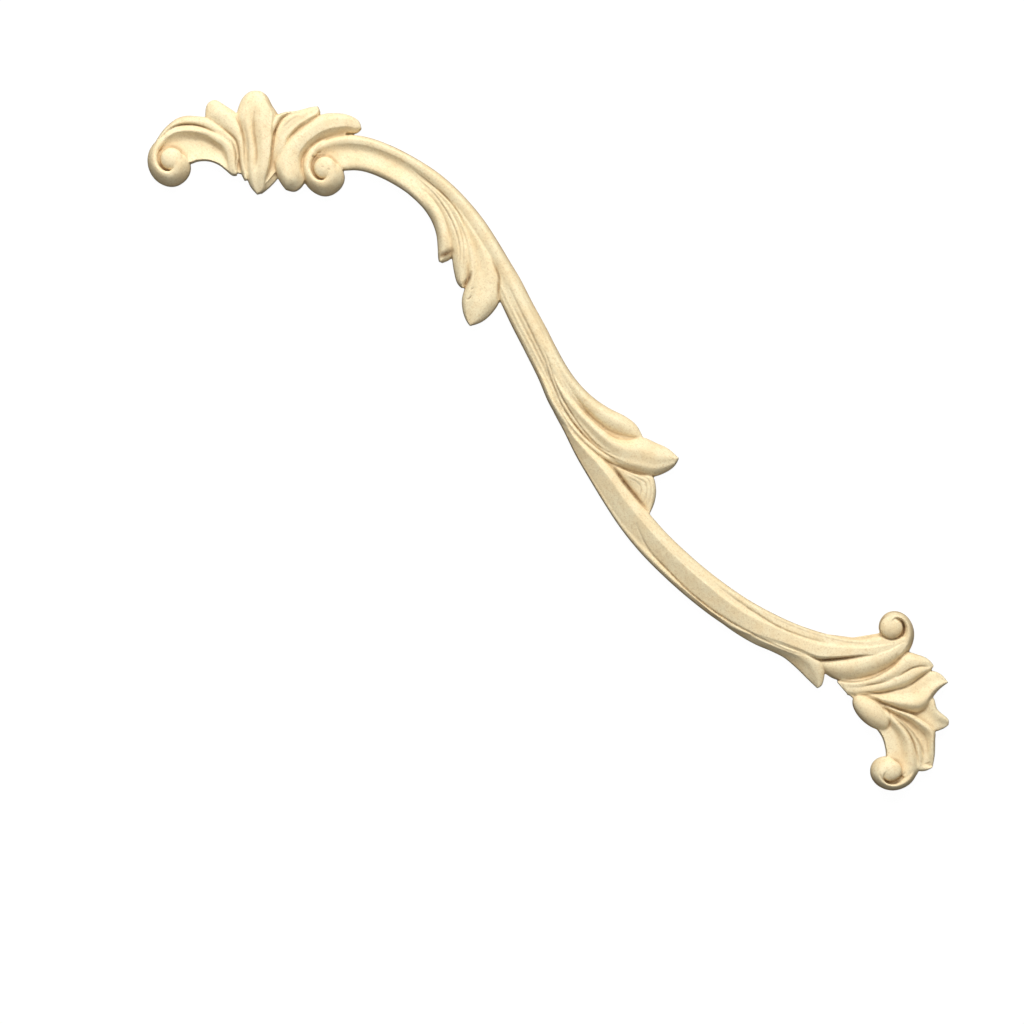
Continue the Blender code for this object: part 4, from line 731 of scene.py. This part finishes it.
def mark(mesh, name, values):
    """Keep a number from 0 to 1 at each point, for the material to read."""
    attribute = mesh.attributes.new(name, 'FLOAT', 'POINT')
    attribute.data.foreach_set('value', np.clip(values, 0, 1).astype(np.float32))


def onlay():
    """The whole onlay as one mesh."""
    work = bmesh.new()
    for group in (left_fleuron, first_arc, middle, second_arc, right_fleuron):
        group(work)
    mesh = bpy.data.meshes.new('onlay')
    work.to_mesh(mesh)
    work.free()
    obj = bpy.data.objects.new('carved_onlay', mesh)
    bpy.context.scene.collection.objects.link(obj)
    work_in(obj, 'REMESH', mode='VOXEL', voxel_size=VOXEL * MM)
    saw_back(obj.data)
    points = points_of(obj.data)
    cut_lines(points)
    put_points(obj.data, points)
    faces = sum(len(p.vertices) - 2 for p in obj.data.polygons)
    if faces > TRIANGLES:
        work_in(obj, 'DECIMATE', ratio=TRIANGLES / faces, use_collapse_triangulate=True)
    points = points_of(obj.data)
    points[points[:, 2] < BACK_SNAP, 2] = 0
    put_points(obj.data, points)
    narrow, wide = hollowness(points)
    face = np.clip((points[:, 2] - FACE_FOOT) / FACE_RISE, 0, 1)
    # painted shade: darker in the creases, the gouges and the valleys, and along the fine cuts
    mark(obj.data, 'crease', narrow * face * CREASE_SHADE_GAIN)
    mark(obj.data, 'dip_shade', wide * face * DIP_SHADE_GAIN)
    mark(obj.data, 'cut_shade', shade_along_cuts(points))
    obj.data.shade_smooth()
    obj.data.set_sharp_from_angle(angle=np.radians(SHARP_ANGLE))
    return obj


def composite():
    """Raw moulded wood fibre: cream and speckled, with painted shade in tan and brown in the hollows and
    the fine cuts.
    """
    material = bpy.data.materials.new('wood_composite')
    material.use_nodes = True
    nodes, links = material.node_tree.nodes, material.node_tree.links
    shader = nodes['Principled BSDF']
    shader.inputs['Roughness'].default_value = 0.62
    shader.inputs['Specular IOR Level'].default_value = 0.3
    place = nodes.new('ShaderNodeTexCoord').outputs['Object']

    def noise(scale, detail, rough=0.5, stretch=None):
        # scale is in cells to the metre
        node = nodes.new('ShaderNodeTexNoise')
        node.inputs['Scale'].default_value = scale
        node.inputs['Detail'].default_value = detail
        node.inputs['Roughness'].default_value = rough
        if stretch:
            turn = nodes.new('ShaderNodeMapping')
            turn.inputs['Scale'].default_value = stretch
            links.new(place, turn.inputs['Vector'])
            links.new(turn.outputs['Vector'], node.inputs['Vector'])
        else:
            links.new(place, node.inputs['Vector'])
        return node.outputs['Fac']

    def remap(value, low, high, new_low=0.0, new_high=1.0):
        node = nodes.new('ShaderNodeMapRange')
        limits = (('From Min', low), ('From Max', high), ('To Min', new_low), ('To Max', new_high))
        for key, number in limits:
            node.inputs[key].default_value = number
        links.new(value, node.inputs['Value'])
        return node.outputs['Result']

    def blend(factor, first, second):
        node = nodes.new('ShaderNodeMix')
        node.data_type = 'RGBA'
        for key, value in ((0, factor), (6, first), (7, second)):
            if isinstance(value, tuple):
                node.inputs[key].default_value = value
            else:
                links.new(value, node.inputs[key])
        return node.outputs[2]

    def times(first, second):
        node = nodes.new('ShaderNodeMath')
        node.operation = 'MULTIPLY'
        links.new(first, node.inputs[0])
        if isinstance(second, float):
            node.inputs[1].default_value = second
        else:
            links.new(second, node.inputs[1])
        return node.outputs[0]

    def attribute(name):
        node = nodes.new('ShaderNodeAttribute')
        node.attribute_name = name
        return node.outputs['Fac']

    def bump(height, strength, distance, normal=None):
        node = nodes.new('ShaderNodeBump')
        node.inputs['Strength'].default_value = strength
        node.inputs['Distance'].default_value = distance
        links.new(height, node.inputs['Height'])
        if normal is not None:
            links.new(normal, node.inputs['Normal'])
        return node.outputs['Normal']

    cloud = noise(110, 4, 0.6)
    speck = noise(1500, 3, 0.7)
    fibre = noise(700, 4, 0.6, (0.35, 1, 1))
    # warmer clouds, and painted shade in tan in the gouges and valleys
    colour = blend(remap(cloud, 0.42, 0.68), CREAM, CREAM_WARM)
    colour = blend(times(remap(attribute('dip_shade'), 0.05, 0.8), 0.6), colour, TAN)
    # painted shade in the creases and the fine cuts, broken up by noise
    crease_shade_mix = times(remap(attribute('crease'), 0.3, 1.0), remap(noise(300, 3), 0.25, 0.6, 0.3, 0.75))
    colour = blend(crease_shade_mix, colour, TAN_DEEP)
    cut_shade_mix = times(remap(attribute('cut_shade'), 0.05, 0.85), remap(noise(500, 3), 0.3, 0.6, 0.5, 1.0))
    colour = blend(cut_shade_mix, colour, CUT_SHADE_BROWN)
    # specks and short fibres
    colour = blend(remap(speck, 0.5, 0.68, 0.0, 0.6), colour, TAN)
    colour = blend(remap(noise(900, 4, 0.7), 0.56, 0.7, 0.0, 0.35), colour, TAN_DEEP)
    colour = blend(remap(fibre, 0.56, 0.74, 0.0, 0.35), colour, TAN)
    links.new(colour, shader.inputs['Base Color'])
    # the tooth of the surface, and its slight unevenness
    tooth = bump(speck, 0.5, 0.00012)
    uneven = bump(noise(240, 3, 0.6), 0.6, 0.0004, tooth)
    links.new(uneven, shader.inputs['Normal'])
    return material


def studio():
    """Pale floor and soft light that comes from the photograph's upper side."""
    scene = bpy.context.scene
    scene.view_settings.view_transform = 'Standard'
    world = bpy.data.worlds.new('studio')
    world.use_nodes = True
    world.node_tree.nodes['Background'].inputs['Color'].default_value = WHITE
    world.node_tree.nodes['Background'].inputs['Strength'].default_value = AMBIENT
    scene.world = world

    mesh = bpy.data.meshes.new('floor')
    sides = ((-1, -1), (1, -1), (1, 1), (-1, 1))
    corners = [(x * FLOOR_HALF, y * FLOOR_HALF, -FLOOR_DROP) for x, y in sides]
    mesh.from_pydata(corners, [], [(0, 1, 2, 3)])
    floor = bpy.data.objects.new('floor', mesh)
    scene.collection.objects.link(floor)
    material = bpy.data.materials.new('floor_paper')
    material.use_nodes = True
    shader = material.node_tree.nodes['Principled BSDF']
    shader.inputs['Base Color'].default_value = FLOOR_SHADE
    shader.inputs['Roughness'].default_value = 1.0
    shader.inputs['Specular IOR Level'].default_value = 0.0
    shader.inputs['Emission Color'].default_value = WHITE
    shader.inputs['Emission Strength'].default_value = FLOOR_GLOW
    mesh.materials.append(material)
    floor.visible_diffuse = False
    floor.visible_glossy = False

    softbox('key', KEY_POWER, KEY_HEIGHT, KEY_SIZE)
    softbox('fill', FILL_POWER, FILL_HEIGHT, FILL_SIZE)


def softbox(name, power, height, size):
    """Area light on the photograph's upper side, turned to the onlay."""
    light = bpy.data.lights.new(name, 'AREA')
    light.shape = 'RECTANGLE'
    light.size, light.size_y = size
    light.energy = power
    lamp = bpy.data.objects.new(name, light)
    lamp.location = LOOK_AT + slant(UP, height) * LIGHT_REACH
    lamp.rotation_euler = (LOOK_AT - lamp.location).to_track_quat('-Z', 'Y').to_euler()
    bpy.context.scene.collection.objects.link(lamp)


def slant(level, height):
    """Direction that rises from a level one by an angle."""
    return level * math.cos(height) + Vector((0, 0, 1)) * math.sin(height)


def camera():
    """Long lens above the face, at the photograph's turn."""
    data = bpy.data.cameras.new('camera')
    data.sensor_width = SENSOR
    data.lens = SENSOR * CAMERA_REACH / PHOTO_WIDTH
    data.clip_end = 20
    obj = bpy.data.objects.new('camera', data)
    back = slant(-UP, CAMERA_HEIGHT)
    up = slant(UP, math.pi / 2 - CAMERA_HEIGHT)
    place = Matrix((up.cross(back), up, back)).transposed().to_4x4()
    place.translation = LOOK_AT + back * CAMERA_REACH
    obj.matrix_world = place
    bpy.context.scene.collection.objects.link(obj)
    bpy.context.scene.camera = obj


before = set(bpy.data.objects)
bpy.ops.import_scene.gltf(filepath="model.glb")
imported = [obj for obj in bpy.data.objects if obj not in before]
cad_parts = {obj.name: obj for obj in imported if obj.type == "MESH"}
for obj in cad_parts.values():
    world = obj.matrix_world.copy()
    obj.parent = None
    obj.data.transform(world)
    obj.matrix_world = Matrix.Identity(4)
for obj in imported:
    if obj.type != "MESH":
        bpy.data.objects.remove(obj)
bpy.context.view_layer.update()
piece = onlay()
piece.data.materials.append(composite())
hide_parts('scroll_onlay')
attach(piece, 'root')
studio()
camera()
